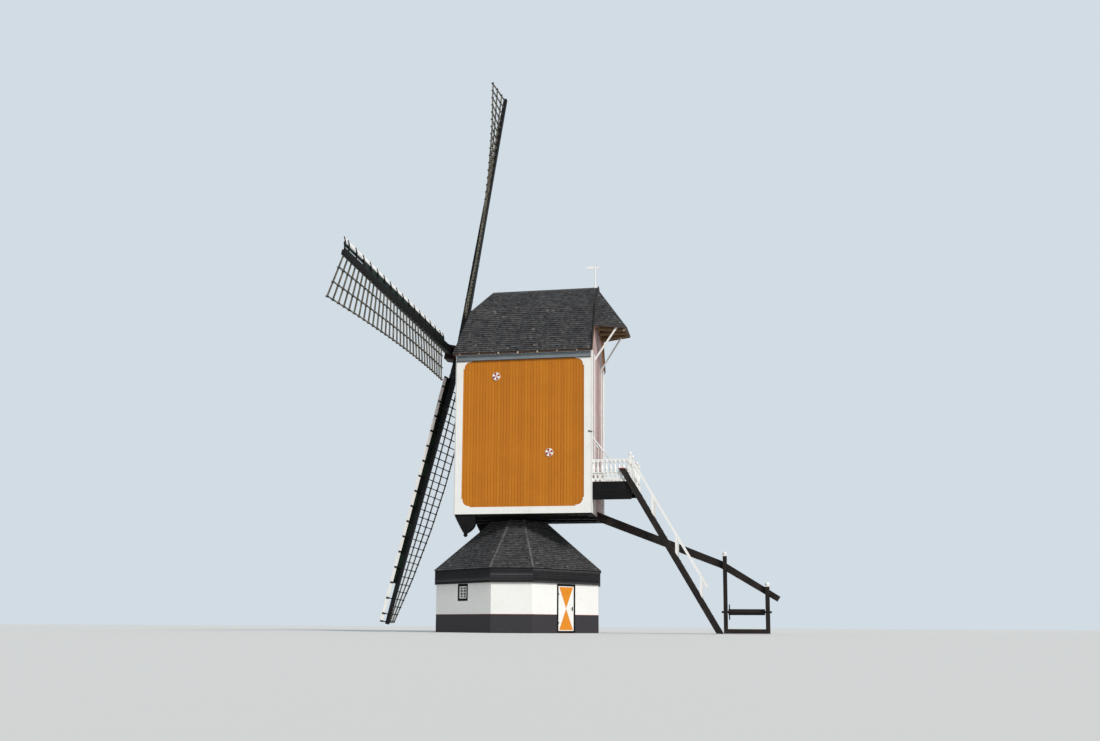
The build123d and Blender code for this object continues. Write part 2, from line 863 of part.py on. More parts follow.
save(balustrade, "balustrade")

# Stair
stair_run = Vector(0, string_foot[0] - string_top[0], string_foot[1] - string_top[1])
stair_slope = degrees(atan2(-stair_run.Z, stair_run.Y))
outer_string = balcony_half_width + string_width / 2
inner_string = outer_string - stair_width + string_width

with BuildPart() as strings:
    for x in (outer_string, inner_string):
        with BuildSketch(Plane.YZ.offset(x - string_width / 2)):
            with BuildLine():
                half_level = string_depth / 2 / sin(radians(stair_slope))
                Polyline(
                    (string_top[0] - half_level, string_top[1]),
                    (string_top[0] + half_level, string_top[1]),
                    (string_foot[0] + half_level, string_foot[1]),
                    (string_foot[0] - half_level, string_foot[1]),
                    close=True,
                )
            make_face()
        extrude(amount=string_width)
    with Locations((0, balcony_rear, balcony_girder_bottom)):
        Box(
            2 * balcony_half_width,
            2 * balcony_rear,
            string_top[1],
            align=(Align.CENTER, Align.MAX, Align.MIN),
            mode=Mode.SUBTRACT,
        )
save(strings, "stair_strings")

with BuildPart() as treads:
    slope_run = -stair_run.Y / stair_run.Z
    tread_length = stair_width - 2 * string_width
    for step in range(1, tread_count + 1):
        height = tread_rise * step
        line = string_foot[0] - (height - string_foot[1]) * slope_run
        with BuildSketch(Plane.XY.offset(height - tread_thickness)):
            with Locations(((outer_string + inner_string) / 2, line + tread_set_back)):
                Rectangle(tread_length, tread_going)
        extrude(amount=tread_thickness)
save(treads, "stair_treads")


def on_string(share, above=0.0):
    """Point on the strings' upper edge, a share of the way down, and a height above it."""
    level = string_depth / 2 / cos(radians(stair_slope))
    return (
        string_top[0] + share * stair_run.Y,
        string_top[1] + share * stair_run.Z + level + above,
    )


with BuildPart() as stair_rails:
    for x in (outer_string, inner_string):
        for share in stair_post_places:
            y, z = on_string(share)
            with BuildPart(mode=Mode.PRIVATE) as post:
                with Locations((x, y, z - string_depth)):
                    Box(
                        stair_post_side,
                        stair_post_side,
                        stair_rail_height + string_depth,
                        align=(Align.CENTER, Align.CENTER, Align.MIN),
                    )
                edge = Plane(origin=(x, y, z), x_dir=(1, 0, 0), z_dir=(0, -stair_run.Z, stair_run.Y))
                split(bisect_by=edge, keep=Keep.TOP)
            add(post.part)
        head_y, head_z = on_string(0.115, stair_rail_height)
        foot_y, foot_z = on_string(0.88, stair_rail_height)
        beam((x, head_y, head_z), (x, foot_y, foot_z), stair_rail_side, stair_rail_side)
save(stair_rails, "stair_rails")

# Tail pole
with BuildPart() as tail_pole:
    tail_root = (0, body_rear - tail_root_side, tail_root_height + tail_root_side * 0.4)
    add(tapered_beam(tail_root, (0, *tail_bend), tail_root_side, tail_bend_side))
    add(tapered_beam((0, *tail_bend), (0, *tail_end), tail_bend_side, tail_end_side))
    with Locations((0, *tail_bend)):
        Cylinder(tail_bend_side / 2, tail_bend_side, rotation=(0, 90, 0))
    split(bisect_by=Plane.XZ.offset(-body_rear), keep=Keep.BOTTOM)
save(tail_pole, "tail_pole")

# Winch at the end of the tail pole
winch_post_line = winch_post_gap / 2 + winch_post_side / 2
winch_length = winch_rear_post[0] - winch_front_post[0]
winch_middle = (winch_rear_post[0] + winch_front_post[0]) / 2
with BuildPart() as winch_frame:
    for place, top in (winch_front_post, winch_rear_post):
        for side in (1, -1):
            with Locations((side * winch_post_line, place, winch_base_bottom)):
                Box(
                    winch_post_side,
                    winch_post_side,
                    top - winch_base_bottom,
                    align=(Align.CENTER, Align.CENTER, Align.MIN),
                )
            add(ball((side * winch_post_line, place, top + ball_radius), ball_radius * 1.4))
        with Locations((0, place, winch_axle_height)):
            Box(2 * winch_post_line, winch_post_side, winch_bearing_height)
        with Locations((0, place, top - winch_collar_drop)):
            Box(2 * winch_post_line, winch_post_side, winch_collar_height)
    for side in (1, -1):
        with Locations((side * winch_post_line, winch_middle, winch_base_bottom)):
            Box(
                winch_post_side,
                winch_length,
                winch_base_height,
                align=(Align.CENTER, Align.CENTER, Align.MIN),
            )
    with BuildSketch(Plane.XZ.offset(-winch_front_post[0] + winch_post_side)):
        with Locations((0, winch_axle_height)):
            Circle(winch_axle_radius + winch_bearing_fit)
    extrude(amount=-winch_length - 2 * winch_post_side, mode=Mode.SUBTRACT)
    add(tail_pole.part, mode=Mode.SUBTRACT)
save(winch_frame, "winch_frame")

drum_start = winch_front_post[0] + winch_post_side / 2 + 30
drum_end = winch_rear_post[0] - winch_post_side / 2 - 30
with BuildPart() as winch_drum:
    with BuildSketch(Plane.XZ.offset(-winch_front_post[0] + winch_post_side)):
        with Locations((0, winch_axle_height)):
            Circle(winch_axle_radius)
    extrude(amount=-winch_length - 2 * winch_post_side)
    with BuildSketch(Plane.XZ.offset(-drum_start)):
        with Locations((0, winch_axle_height)):
            Circle(winch_drum_radius)
    extrude(amount=-(drum_end - drum_start))
    wheel_middle = drum_start + winch_wheel_width / 2
    for spoke in range(4):
        angle = 45 * spoke
        reach = winch_wheel_radius
        direction = Vector(sin(radians(angle)), 0, cos(radians(angle)))
        start = Vector(0, wheel_middle, winch_axle_height) - direction * reach
        end = Vector(0, wheel_middle, winch_axle_height) + direction * reach
        beam(tuple(start), tuple(end), 2 * winch_handle_radius, 2 * winch_handle_radius, (0, 1, 0))
save(winch_drum, "winch_drum")

# Wind vane: a rod on the ridge and the arrow that turns on it
vane_rod_top = ridge_height + vane_rod_length
vane_height = vane_rod_top + vane_rise
with BuildPart() as vane_rod:
    with Locations((0, vane_place, ridge_height)):
        Cylinder(vane_rod_radius, vane_rod_length, align=(Align.CENTER, Align.CENTER, Align.MIN))
        Cylinder(vane_rod_radius * 2.5, vane_rod_radius * 2, align=(Align.CENTER, Align.CENTER, Align.MIN))
    with BuildSketch(Plane.XZ.offset(-vane_place - 150)) as cut:
        with BuildLine():
            Polyline(*gambrel(), close=True)
        make_face()
    extrude(cut.sketch, amount=300, mode=Mode.SUBTRACT)
    with Locations((0, vane_place, vane_rod_top)):
        Cylinder(vane_rod_radius * 0.4, vane_height + 60 - vane_rod_top, align=(Align.CENTER, Align.CENTER, Align.MIN))
save(vane_rod, "vane_rod")

with BuildPart() as vane:
    with BuildSketch(Plane.YZ.offset(-15)):
        with Locations((vane_place - vane_length * 0.45, vane_height)):
            Ellipse(vane_length * 0.5, 70)
        with Locations((vane_place + vane_length * 0.15, vane_height)):
            Rectangle(vane_length * 0.5, 34)
        with Locations((vane_place + vane_length * 0.35, vane_height)):
            Rectangle(150, 40, rotation=45)
            Rectangle(150, 40, rotation=-45)
    extrude(amount=30)
    with Locations((0, vane_place, vane_rod_top + vane_fit)):
        Cylinder(vane_rod_radius, vane_height + 70 - vane_rod_top, align=(Align.CENTER, Align.CENTER, Align.MIN))
        Cylinder(
            vane_rod_radius * 0.4 + vane_fit,
            vane_height + 60 + vane_fit - vane_rod_top,
            align=(Align.CENTER, Align.CENTER, Align.MIN),
            mode=Mode.SUBTRACT,
        )
save(vane, "vane")

with BuildPart() as shaft_beams:
    for place in (neck_bearing_place, tail_bearing_place):
        centre = sails.origin - sails.z_dir * place
        beam_top = min(centre.Z, body_top)
        with Locations((0, centre.Y, beam_top)):
            Box(
                2 * inner_half_width,
                bearing_length,
                bearing_beam_depth + beam_top - centre.Z,
                align=(Align.CENTER, Align.CENTER, Align.MAX),
            )
        with Locations((0, centre.Y, centre.Z)):
            Box(
                2 * bearing_half_width,
                bearing_length,
                bearing_beam_depth,
                align=(Align.CENTER, Align.CENTER, Align.MAX),
            )
    with BuildSketch(sails):
        Circle(shaft_radius + bearing_gap)
    extrude(amount=-2 * shaft_length, mode=Mode.SUBTRACT)
save(shaft_beams, "shaft_beams")


# Sails
def stock_section(arm, reach, depth, width):
    """Corners of a stock's section across one arm, at a distance from the poll."""
    across = Plane(origin=arm.origin + arm.x_dir * reach, x_dir=arm.z_dir, z_dir=arm.x_dir)
    return section_corners(across, depth, width)


with BuildPart() as stocks:
    for place, turn in ((rear_stock_place, 0), (front_stock_place, 90)):
        for side in (0, 180):
            arm = arm_plane(place, turn + side)
            upright = arm_plane(place, turn + side, lean=0)
            sections = [
                stock_section(upright, 0, stock_depth, stock_width),
                stock_section(arm, poll_side, stock_depth, stock_width),
                stock_section(arm, sail_radius, stock_tip_depth, stock_tip_width),
            ]
            add(flat_sided(sections))
save(stocks, "sail_stocks")

# Windshaft, with the poll that holds the stocks
with BuildPart() as windshaft:
    with BuildSketch(sails.offset(poll_rear)):
        Circle(shaft_radius)
    extrude(amount=-(shaft_length + poll_rear))
    with BuildSketch(sails.offset(poll_rear)):
        Rectangle(poll_side, poll_side, rotation=sail_turn)
    extrude(amount=poll_front - poll_rear)
    add(stocks.part, mode=Mode.SUBTRACT)
save(windshaft, "windshaft")

bar_pitch = (last_bar - first_bar) / (bar_count - 1)


def twist_at(reach):
    """How far the trailing edge of a sail stands forward of its stock at a distance from the poll."""
    share = (reach - first_bar) / (last_bar - first_bar)
    return inner_twist + share * (outer_twist - inner_twist) + 4 * middle_twist * share * (1 - share)


def sail_bar(start, end, width, depth):
    """A lattice bar between two points of the sail's own frame."""
    run = Vector(*end) - Vector(*start)
    with BuildSketch(Plane(origin=start, x_dir=run.cross(Vector(0, 0, 1)), z_dir=run)) as section:
        Rectangle(width, depth)
    return extrude(section.sketch, amount=run.length, mode=Mode.PRIVATE)


# The lattice of one sail: X runs out along its stock, -Y is the trailing side, Z faces the wind
with BuildPart() as lattice_pattern:
    bars = []
    for index in range(bar_count):
        reach = first_bar + index * bar_pitch
        bars.append(
            sail_bar((reach, 0, 0), (reach, -lattice_width - 40, twist_at(reach)), bar_width, bar_depth)
        )
    for index in range(1, long_bar_count + 1):
        share = index / long_bar_count
        ends = (first_bar - long_bar_end, *(first_bar + knot * bar_pitch for knot in long_bar_knots[1:-1]))
        for start, end in zip(ends, (*ends[1:], last_bar + long_bar_end)):
            bars.append(
                sail_bar(
                    (start, -lattice_width * share, twist_at(start) * share - bar_depth / 2),
                    (end, -lattice_width * share, twist_at(end) * share - bar_depth / 2),
                    bar_width,
                    bar_depth,
                )
            )
    add(bars)

with BuildPart() as windboard_pattern:
    sections = []
    for reach, lead in ((windboard_start, windboard_inner_lead), (last_bar, windboard_outer_lead)):
        board_plane = Plane(origin=(reach, 0, 0), x_dir=(0, windboard_width, lead), z_dir=(1, 0, 0))
        with BuildSketch(board_plane) as section:
            with Locations((hypot(windboard_width, lead) / 2, 0)):
                Rectangle(hypot(windboard_width, lead), windboard_thickness)
        sections.append(section.sketch)
    loft(sections, ruled=True)

arms = [
    arm_plane(place, 90 * index)
    for index, place in enumerate((rear_stock_place, front_stock_place, rear_stock_place, front_stock_place))
]
for index, arm in enumerate(arms, start=1):
    with BuildPart() as lattice:
        add(lattice_pattern.part.moved(arm.location))
        add(stocks.part, mode=Mode.SUBTRACT)
    save(lattice, f"sail_lattice_{index}")

with BuildPart() as windboards:
    for arm in arms:
        add(windboard_pattern.part.moved(arm.location))
    add(stocks.part, mode=Mode.SUBTRACT)
save(windboards, "sail_windboards")
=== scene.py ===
"""A traditional post mill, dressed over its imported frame.

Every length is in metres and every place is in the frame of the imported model: the mill's post is
the Z axis, the sails face -Y, and the stair and tail pole run to +Y.
"""

from __future__ import annotations

import json
import logging
import math
import random
from dataclasses import dataclass, field
from enum import Enum
from typing import Callable, Iterable, Optional, Sequence

import bmesh
import bpy
from mathutils import Matrix, Vector

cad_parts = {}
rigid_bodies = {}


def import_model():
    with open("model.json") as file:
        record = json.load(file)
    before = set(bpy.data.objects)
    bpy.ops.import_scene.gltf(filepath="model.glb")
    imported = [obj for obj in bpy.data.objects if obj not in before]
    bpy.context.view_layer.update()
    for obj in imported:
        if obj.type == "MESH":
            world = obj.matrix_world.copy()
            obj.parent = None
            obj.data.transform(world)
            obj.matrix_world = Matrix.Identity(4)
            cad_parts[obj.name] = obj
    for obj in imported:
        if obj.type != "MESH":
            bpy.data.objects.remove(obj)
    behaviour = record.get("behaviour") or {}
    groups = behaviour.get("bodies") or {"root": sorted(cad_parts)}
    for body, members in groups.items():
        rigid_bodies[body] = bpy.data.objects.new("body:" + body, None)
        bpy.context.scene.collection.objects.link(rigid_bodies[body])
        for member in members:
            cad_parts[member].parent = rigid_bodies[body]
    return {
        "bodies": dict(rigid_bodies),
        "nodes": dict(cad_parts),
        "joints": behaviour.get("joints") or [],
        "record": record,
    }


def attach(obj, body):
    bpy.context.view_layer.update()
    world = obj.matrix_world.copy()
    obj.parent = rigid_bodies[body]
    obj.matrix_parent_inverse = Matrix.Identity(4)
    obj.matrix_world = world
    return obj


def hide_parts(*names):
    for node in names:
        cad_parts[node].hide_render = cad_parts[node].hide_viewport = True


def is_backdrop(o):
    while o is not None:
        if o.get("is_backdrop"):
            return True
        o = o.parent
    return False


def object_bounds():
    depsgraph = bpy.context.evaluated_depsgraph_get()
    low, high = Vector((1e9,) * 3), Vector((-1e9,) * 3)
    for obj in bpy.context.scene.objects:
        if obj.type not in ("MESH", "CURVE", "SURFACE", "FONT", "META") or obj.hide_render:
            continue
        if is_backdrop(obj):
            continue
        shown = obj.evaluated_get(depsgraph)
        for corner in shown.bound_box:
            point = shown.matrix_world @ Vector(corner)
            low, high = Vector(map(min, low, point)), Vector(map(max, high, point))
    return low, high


LOG = logging.getLogger("post_mill")
Place = Sequence[float]
Tree = bpy.types.NodeTree
Socket = bpy.types.NodeSocket
Mesh = bmesh.types.BMesh
X, Y, Z = Vector((1, 0, 0)), Vector((0, 1, 0)), Vector((0, 0, 1))
# Noise keeps near its middle, so its weight in a finish is stretched by this much
NOISE_GAIN = 2.4


def linear(colour: str) -> tuple[float, float, float, float]:
    """Turn an sRGB hex colour into Blender's linear colour.

    Args:
        colour: Six hex digits, with or without a leading #.

    Returns:
        Linear red, green, blue and an alpha of one.
    """
    digits = colour.lstrip("#")
    channels = []
    for start in (0, 2, 4):
        share = int(digits[start : start + 2], 16) / 255
        channels.append(share / 12.92 if share <= 0.04045 else ((share + 0.055) / 1.055) ** 2.4)
    return (channels[0], channels[1], channels[2], 1.0)


def add_node(tree: Tree, kind: str, inputs: Optional[dict] = None, **settings: object) -> bpy.types.Node:
    """Add one shader node, set it and feed its inputs.

    Args:
        tree: The material's node tree.
        kind: The node's type, as Blender names it.
        inputs: What each input gets, by its name or number: a value, or a socket to link.
        **settings: The node's own properties.

    Returns:
        The new node.
    """
    node = tree.nodes.new(kind)
    for key, value in settings.items():
        setattr(node, key, value)
    for key, value in (inputs or {}).items():
        if isinstance(value, Socket):
            tree.links.new(value, node.inputs[key])
        else:
            node.inputs[key].default_value = value
    return node


def calculate(tree: Tree, operation: str, *terms: object, **settings: object) -> Socket:
    """Calculate with one Math node.

    Args:
        tree: The material's node tree.
        operation: What it does, as Blender names it.
        *terms: Its inputs in order, numbers or sockets.
        **settings: The node's own properties.

    Returns:
        The socket of the result.
    """
    inputs = dict(enumerate(terms))
    return add_node(tree, "ShaderNodeMath", inputs, operation=operation, **settings).outputs[0]


def mix_colours(tree: Tree, share: Socket, first: object, second: object) -> Socket:
    """Mix two colours.

    Args:
        tree: The material's node tree.
        share: The second colour's share.
        first: A colour or its socket.
        second: A colour or its socket.

    Returns:
        The socket of the mixed colour.
    """
    return add_node(tree, "ShaderNodeMix", {0: share, 6: first, 7: second}, data_type="RGBA").outputs[2]


def object_place(tree: Tree) -> Socket:
    """Return the socket of each point's place in the mill's frame."""
    return add_node(tree, "ShaderNodeTexCoord").outputs["Object"]


def noise(tree: Tree, place: Socket, **values: float) -> Socket:
    """Return the socket of a noise over the given place, with its values by input name."""
    return add_node(tree, "ShaderNodeTexNoise", values | {"Vector": place}).outputs[0]


def new_material(label: str, values: dict, build: Callable[[Tree], dict]) -> bpy.types.Material:
    """Make a material with one shader, or return the one already made.

    Args:
        label: Its name.
        values: The shader's values by input name.
        build: Called with the node tree, it returns the sockets of the shader's linked inputs.

    Returns:
        The material.
    """
    if label in bpy.data.materials:
        return bpy.data.materials[label]
    material = bpy.data.materials.new(label)
    material.use_nodes = True
    tree = material.node_tree
    tree.nodes.clear()
    shader = add_node(tree, "ShaderNodeBsdfPrincipled", values | build(tree))
    add_node(tree, "ShaderNodeOutputMaterial", {0: shader.outputs[0]})
    return material


class Lay(Enum):
    """Which way the grain of a finish runs."""

    UPRIGHT = "upright"
    LEVEL_X = "level along x"
    LEVEL_Y = "level along y"
    EVEN = "no direction"
    PIECE = "along each timber of the piece"


@dataclass(frozen=True)
class Finish:
    """A surface with grain, blotches and a tone for each board, in three colours."""

    name: str
    dark: str
    middle: str
    light: str
    grain_mm: float = 14.0
    grain_ratio: float = 26.0
    streak: float = 0.4
    blotch_mm: float = 500.0
    blotch: float = 0.3
    tone: float = 0.3
    relief_mm: float = 1.0
    roughness: float = 0.6
    metallic: float = 0.0
    specular: float = 0.5

    def material(self, lay: Lay = Lay.PIECE) -> bpy.types.Material:
        """Make this finish for one lay of the grain.

        Args:
            lay: Which way the grain runs.

        Returns:
            The material.
        """
        values = {"Roughness": self.roughness, "Metallic": self.metallic, "Specular IOR Level": self.specular}
        return new_material(f"{self.name}_{lay.name.lower()}", values, lambda tree: self.inputs(tree, lay))

    def inputs(self, tree: Tree, lay: Lay) -> dict:
        """Mix streaks, blotches and tone into the colour and the relief.

        Args:
            tree: The material's node tree.
            lay: Which way the grain runs.

        Returns:
            The shader's linked inputs.
        """
        streaks = noise(tree, self.grain_place(tree, lay), Scale=1.0, Detail=4.0, Roughness=0.6)
        blotches = noise(tree, object_place(tree), Scale=1000.0 / self.blotch_mm, Detail=5.0, Roughness=0.62)
        # The tone of each point: chance for each board, and on shingles also painted shade towards each covered
        # head
        tones = add_node(tree, "ShaderNodeAttribute", attribute_name="tone", attribute_type="GEOMETRY")
        mix = 0.5
        for pattern, weight in ((streaks, self.streak), (blotches, self.blotch)):
            centred = calculate(tree, "SUBTRACT", pattern, 0.5)
            mix = calculate(tree, "MULTIPLY_ADD", centred, weight * NOISE_GAIN, mix)
        mix = calculate(tree, "MULTIPLY_ADD", tones.outputs["Fac"], self.tone, mix, use_clamp=True)
        ramp = add_node(tree, "ShaderNodeValToRGB", {0: mix})
        stops = ramp.color_ramp.elements
        for stop, position, colour in ((stops[0], 0.12, self.dark), (stops[1], 0.88, self.light)):
            stop.position = position
            stop.color = linear(colour)
        stops.new(0.5).color = linear(self.middle)
        relief = {"Strength": 0.6, "Distance": self.relief_mm / 1000, "Height": streaks}
        bump = add_node(tree, "ShaderNodeBump", relief)
        return {"Base Color": self.pattern(tree, ramp.outputs[0]), "Normal": bump.outputs[0]}

    def grain_place(self, tree: Tree, lay: Lay) -> Socket:
        """Stretch the coordinates so that a noise drawn on them runs along the grain.

        Args:
            tree: The material's node tree.
            lay: Which way the grain runs.

        Returns:
            The socket of the stretched place.
        """
        across = 1000.0 / self.grain_mm
        along = across / self.grain_ratio
        scales = {
            Lay.UPRIGHT: (across, across, along),
            Lay.LEVEL_Y: (across, along, across),
            Lay.EVEN: (across * 0.3, across * 0.3, across * 0.3),
        }
        scale = scales.get(lay, (along, across, across))
        if lay is Lay.PIECE:
            source = add_node(tree, "ShaderNodeUVMap", uv_map="grain").outputs[0]
        else:
            source = object_place(tree)
        return add_node(tree, "ShaderNodeMapping", {"Scale": scale, "Vector": source}).outputs[0]

    def pattern(self, tree: Tree, colour: Socket) -> Socket:
        """Return the colour as it is; painted patterns change it."""
        return colour


@dataclass(frozen=True)
class LimeWash(Finish):
    """Brushed lime wash on plaster, over a tarred plinth with a thin red line on top."""

    plinth: str = "#232124"
    dust: str = "#3A373A"
    line: str = "#7A3526"
    plinth_top: float = 0.765
    line_height: float = 0.022
    waver: float = 0.018

    def pattern(self, tree: Tree, colour: Socket) -> Socket:
        """Paint the plinth and its line over the wash, by height.

        Args:
            tree: The material's node tree.
            colour: The colour of the wash.

        Returns:
            The painted colour.
        """
        place = object_place(tree)
        level = add_node(tree, "ShaderNodeSeparateXYZ", {0: place}).outputs[2]
        worn = noise(tree, place, Scale=14.0, Detail=4.0)
        height = calculate(tree, "MULTIPLY_ADD", worn, self.waver, level)
        dusty = mix_colours(tree, worn, linear(self.plinth), linear(self.dust))
        for top, paint in ((self.plinth_top + self.line_height, linear(self.line)), (self.plinth_top, dusty)):
            colour = mix_colours(tree, calculate(tree, "LESS_THAN", height, top), colour, paint)
        return colour


@dataclass(frozen=True)
class Hourglass(Finish):
    """Gloss paint with two triangles that meet at the middle of a door, placed on the closed door."""

    triangle: str = "#E08A12"
    half_width: float = 0.40
    half_height: float = 0.90
    waist_height: float = 1.03
    bearing: float = math.radians(52.0)

    def pattern(self, tree: Tree, colour: Socket) -> Socket:
        """Paint the two triangles over the ground colour.

        Args:
            tree: The material's node tree.
            colour: The ground colour.

        Returns:
            The painted colour.
        """
        place = object_place(tree)
        along = (-math.sin(self.bearing), math.cos(self.bearing), 0.0)
        across = add_node(tree, "ShaderNodeVectorMath", {0: place, 1: along}, operation="DOT_PRODUCT")
        level = add_node(tree, "ShaderNodeSeparateXYZ", {0: place}).outputs[2]
        rise = calculate(tree, "ABSOLUTE", calculate(tree, "SUBTRACT", level, self.waist_height))
        edge = calculate(tree, "MULTIPLY", rise, self.half_width / self.half_height)
        side = calculate(tree, "ABSOLUTE", across.outputs["Value"])
        inside = calculate(tree, "LESS_THAN", side, edge)
        within = calculate(tree, "LESS_THAN", rise, self.half_height)
        both = calculate(tree, "MULTIPLY", inside, within)
        return mix_colours(tree, both, colour, linear(self.triangle))


@dataclass(frozen=True)
class Brickwork(Finish):
    """Stretcher courses of fired brick in lime mortar."""

    mortar: str = "#9B9184"
    joint_mm: float = 5.0
    course_mm: float = 62.0
    length_ratio: float = 3.4

    def pattern(self, tree: Tree, colour: Socket) -> Socket:
        """Lay the mortar joints over the brick colour.

        Args:
            tree: The material's node tree.
            colour: The colour of the bricks.

        Returns:
            The colour with its joints.
        """
        place = add_node(tree, "ShaderNodeSeparateXYZ", {0: object_place(tree)}).outputs
        along = calculate(tree, "ADD", place[0], place[1])
        flat = add_node(tree, "ShaderNodeCombineXYZ", {0: along, 1: place[2]})
        course = self.course_mm / 1000
        inputs = {
            "Vector": flat.outputs[0],
            "Color1": colour,
            "Color2": colour,
            "Mortar": linear(self.mortar),
            "Scale": 1.0,
            "Mortar Size": self.joint_mm / 1000,
            "Brick Width": self.length_ratio * course,
            "Row Height": course,
        }
        return add_node(tree, "ShaderNodeTexBrick", inputs).outputs[0]


@dataclass(frozen=True)
class WindowGlass:
    """Old drawn window glass: clear, a little green, with slow waves."""

    name: str = "drawn_glass"
    tint: str = "#C9D6D2"
    wave_mm: float = 160.0

    def material(self, lay: Lay = Lay.EVEN) -> bpy.types.Material:
        """Make the glass.

        Args:
            lay: Not used by glass, which has no grain.

        Returns:
            The material.
        """
        values = {"Base Color": linear(self.tint), "Roughness": 0.04, "IOR": 1.52, "Transmission Weight": 0.9}
        return new_material(self.name, values, self.inputs)

    def inputs(self, tree: Tree) -> dict:
        """Draw slow waves in the surface.

        Args:
            tree: The material's node tree.

        Returns:
            The shader's linked inputs.
        """
        waves = noise(tree, object_place(tree), Scale=1000 / self.wave_mm)
        bump = add_node(tree, "ShaderNodeBump", {"Strength": 0.3, "Distance": 0.002, "Height": waves})
        return {"Normal": bump.outputs[0]}


class Paintshop:
    """Every finish of the mill, named for what it is."""

    # Deal boards under many coats of linseed paint: even colour, slight brush streaks, soft sheen
    ochre = Finish("ochre_linseed_paint", "#A8610B", "#BE7211", "#CC821B", grain_ratio=30, streak=0.2,
                   blotch_mm=900, blotch=0.15, tone=0.12, specular=0.3)
    # White lead paint outdoors: warm white, greyer where rain runs
    white = Finish("white_linseed_paint", "#D6D5D0", "#EDECE8", "#F7F6F3", grain_mm=16, streak=0.25,
                   blotch_mm=700, blotch=0.2, tone=0.15, relief_mm=0.8, roughness=0.5)
    # Tarred softwood: near black and dull, brown where the tar has worn
    tar = Finish("tarred_boards", "#070708", "#0F0F11", "#201E1E", grain_mm=12, grain_ratio=24, streak=0.5,
                 blotch=0.4, relief_mm=1.8, roughness=0.72, specular=0.15)
    # The base's fascia boards: tar worn thin, charcoal like the roof above
    worn_tar = Finish("worn_tar_boards", "#1A1A1C", "#2B2B2D", "#434244", grain_mm=12, grain_ratio=24,
                      streak=0.5, blotch_mm=900, blotch=0.2, tone=0.45, relief_mm=1.8, roughness=0.8,
                      specular=0.2)
    # Split oak shingles gone charcoal in the weather, each its own grey
    shingle = Finish("weathered_shingles", "#19191B", "#38383B", "#676664", grain_mm=9, grain_ratio=12,
                     streak=0.2, blotch_mm=2500, blotch=0.12, tone=0.4, relief_mm=1.6, roughness=0.85,
                     specular=0.25)
    # Sawn oak indoors: brown, matt, with open grain
    oak = Finish("sawn_oak", "#4C3A26", "#6E563A", "#8F7350", grain_mm=10, streak=0.7, blotch=0.4,
                 relief_mm=1.6, roughness=0.7)
    # Sail bars: untreated softwood gone grey brown
    bars = Finish("grey_sail_bars", "#3D3A34", "#605C52", "#87826F", grain_mm=9, grain_ratio=16, streak=0.5,
                  blotch_mm=350, blotch=0.5, tone=0.4, roughness=0.8, specular=0.2)
    # Stocks: black green oil paint, with a low sheen
    stock = Finish("black_green_paint", "#09090A", "#111213", "#1E2021", grain_ratio=30, blotch_mm=800,
                   tone=0.2, specular=0.15)
    # Windboards: the stocks' paint, greener where the sun has thinned it
    board_green = Finish("dark_green_paint", "#070D0A", "#0D1812", "#182820", grain_ratio=30, blotch_mm=800,
                         specular=0.15)
    # The tail pole and stair strings: oiled oak, nearly black, checked along the grain
    pole = Finish("oiled_dark_oak", "#0F0C0B", "#211C1A", "#3B322C", grain_mm=12, grain_ratio=34, streak=0.6,
                  blotch_mm=600, blotch=0.4, relief_mm=2.4, roughness=0.65, specular=0.2)
    # End boards in thin red brown paint that has gone pink in the sun
    rear = Finish("faded_red_paint", "#8E706C", "#AE8F8A", "#CDB6B2", blotch_mm=700, tone=0.25, roughness=0.65)
    # Red lead on the windshaft and poll, nearly black with age
    old_red = Finish("old_red_lead_paint", "#140908", "#26100E", "#3C1915", grain_ratio=12, relief_mm=0.8,
                     specular=0.15)
    # Bargeboards and gutters: brown red paint, dulled
    brown = Finish("dull_brown_paint", "#1C120E", "#2F1F19", "#4A3329", relief_mm=0.8, roughness=0.7)
    # Painted shade: white eave boards given as a blue grey, for the eave's shadow over them
    eave_shade_grey = Finish("eave_painted_shade_grey", "#5C6468", "#737C81", "#8B9396", streak=0.3, blotch_mm=600, tone=0.2,
                       relief_mm=0.6)
    # Bare softwood brackets, silver brown
    tan = Finish("bare_softwood", "#7E7366", "#A0937F", "#BDB19D", grain_mm=10, grain_ratio=20, streak=0.5,
                 blotch_mm=300, blotch=0.4, tone=0.4, roughness=0.8)
    # Iron red on the hatches and on end grain, against the rain
    red = Finish("iron_red_paint", "#6E170F", "#9C2317", "#B93524", grain_ratio=12, streak=0.3, blotch=0.2,
                 tone=0.2, relief_mm=0.8, roughness=0.55)
    # Forged iron under black paint: slightly rough, a little bare at the edges
    iron = Finish("black_forged_iron", "#121213", "#1F1F21", "#3B3937", grain_mm=8, grain_ratio=1, streak=0.5,
                  blotch_mm=120, blotch=0.5, tone=0.2, relief_mm=0.5, roughness=0.5, metallic=0.6)
    # Brushed lime wash on masonry
    plaster = LimeWash("lime_wash", "#D9D8D3", "#EFEEEA", "#F8F8F5", grain_mm=22, grain_ratio=2.4, streak=0.2,
                       blotch_mm=1100, blotch=0.15, tone=0.1, relief_mm=3.0, roughness=0.85)
    # Rough stone flags
    stone = Finish("stone_flags", "#6D6962", "#8B867D", "#A6A197", grain_mm=60, grain_ratio=1, streak=0.5,
                   blotch_mm=400, blotch=0.5, tone=0.2, relief_mm=1.5, roughness=0.8)
    # Hand-made brick, seen only inside
    brick = Brickwork("field_brick", "#6E3526", "#8C4833", "#A8624A", grain_mm=18, grain_ratio=1, blotch_mm=160,
                      blotch=0.6, tone=0.2, relief_mm=1.2, roughness=0.85)
    # Gloss paint on the door
    door = Hourglass("hourglass_paint", "#D5D4CF", "#F0EFEB", "#FAFAF8", grain_mm=16, streak=0.25, blotch=0.25,
                     tone=0.1, relief_mm=0.6, roughness=0.4)
    glass = WindowGlass()


def unit(vector: Vector) -> Vector:
    """Return a vector of length one."""
    return vector.normalized()


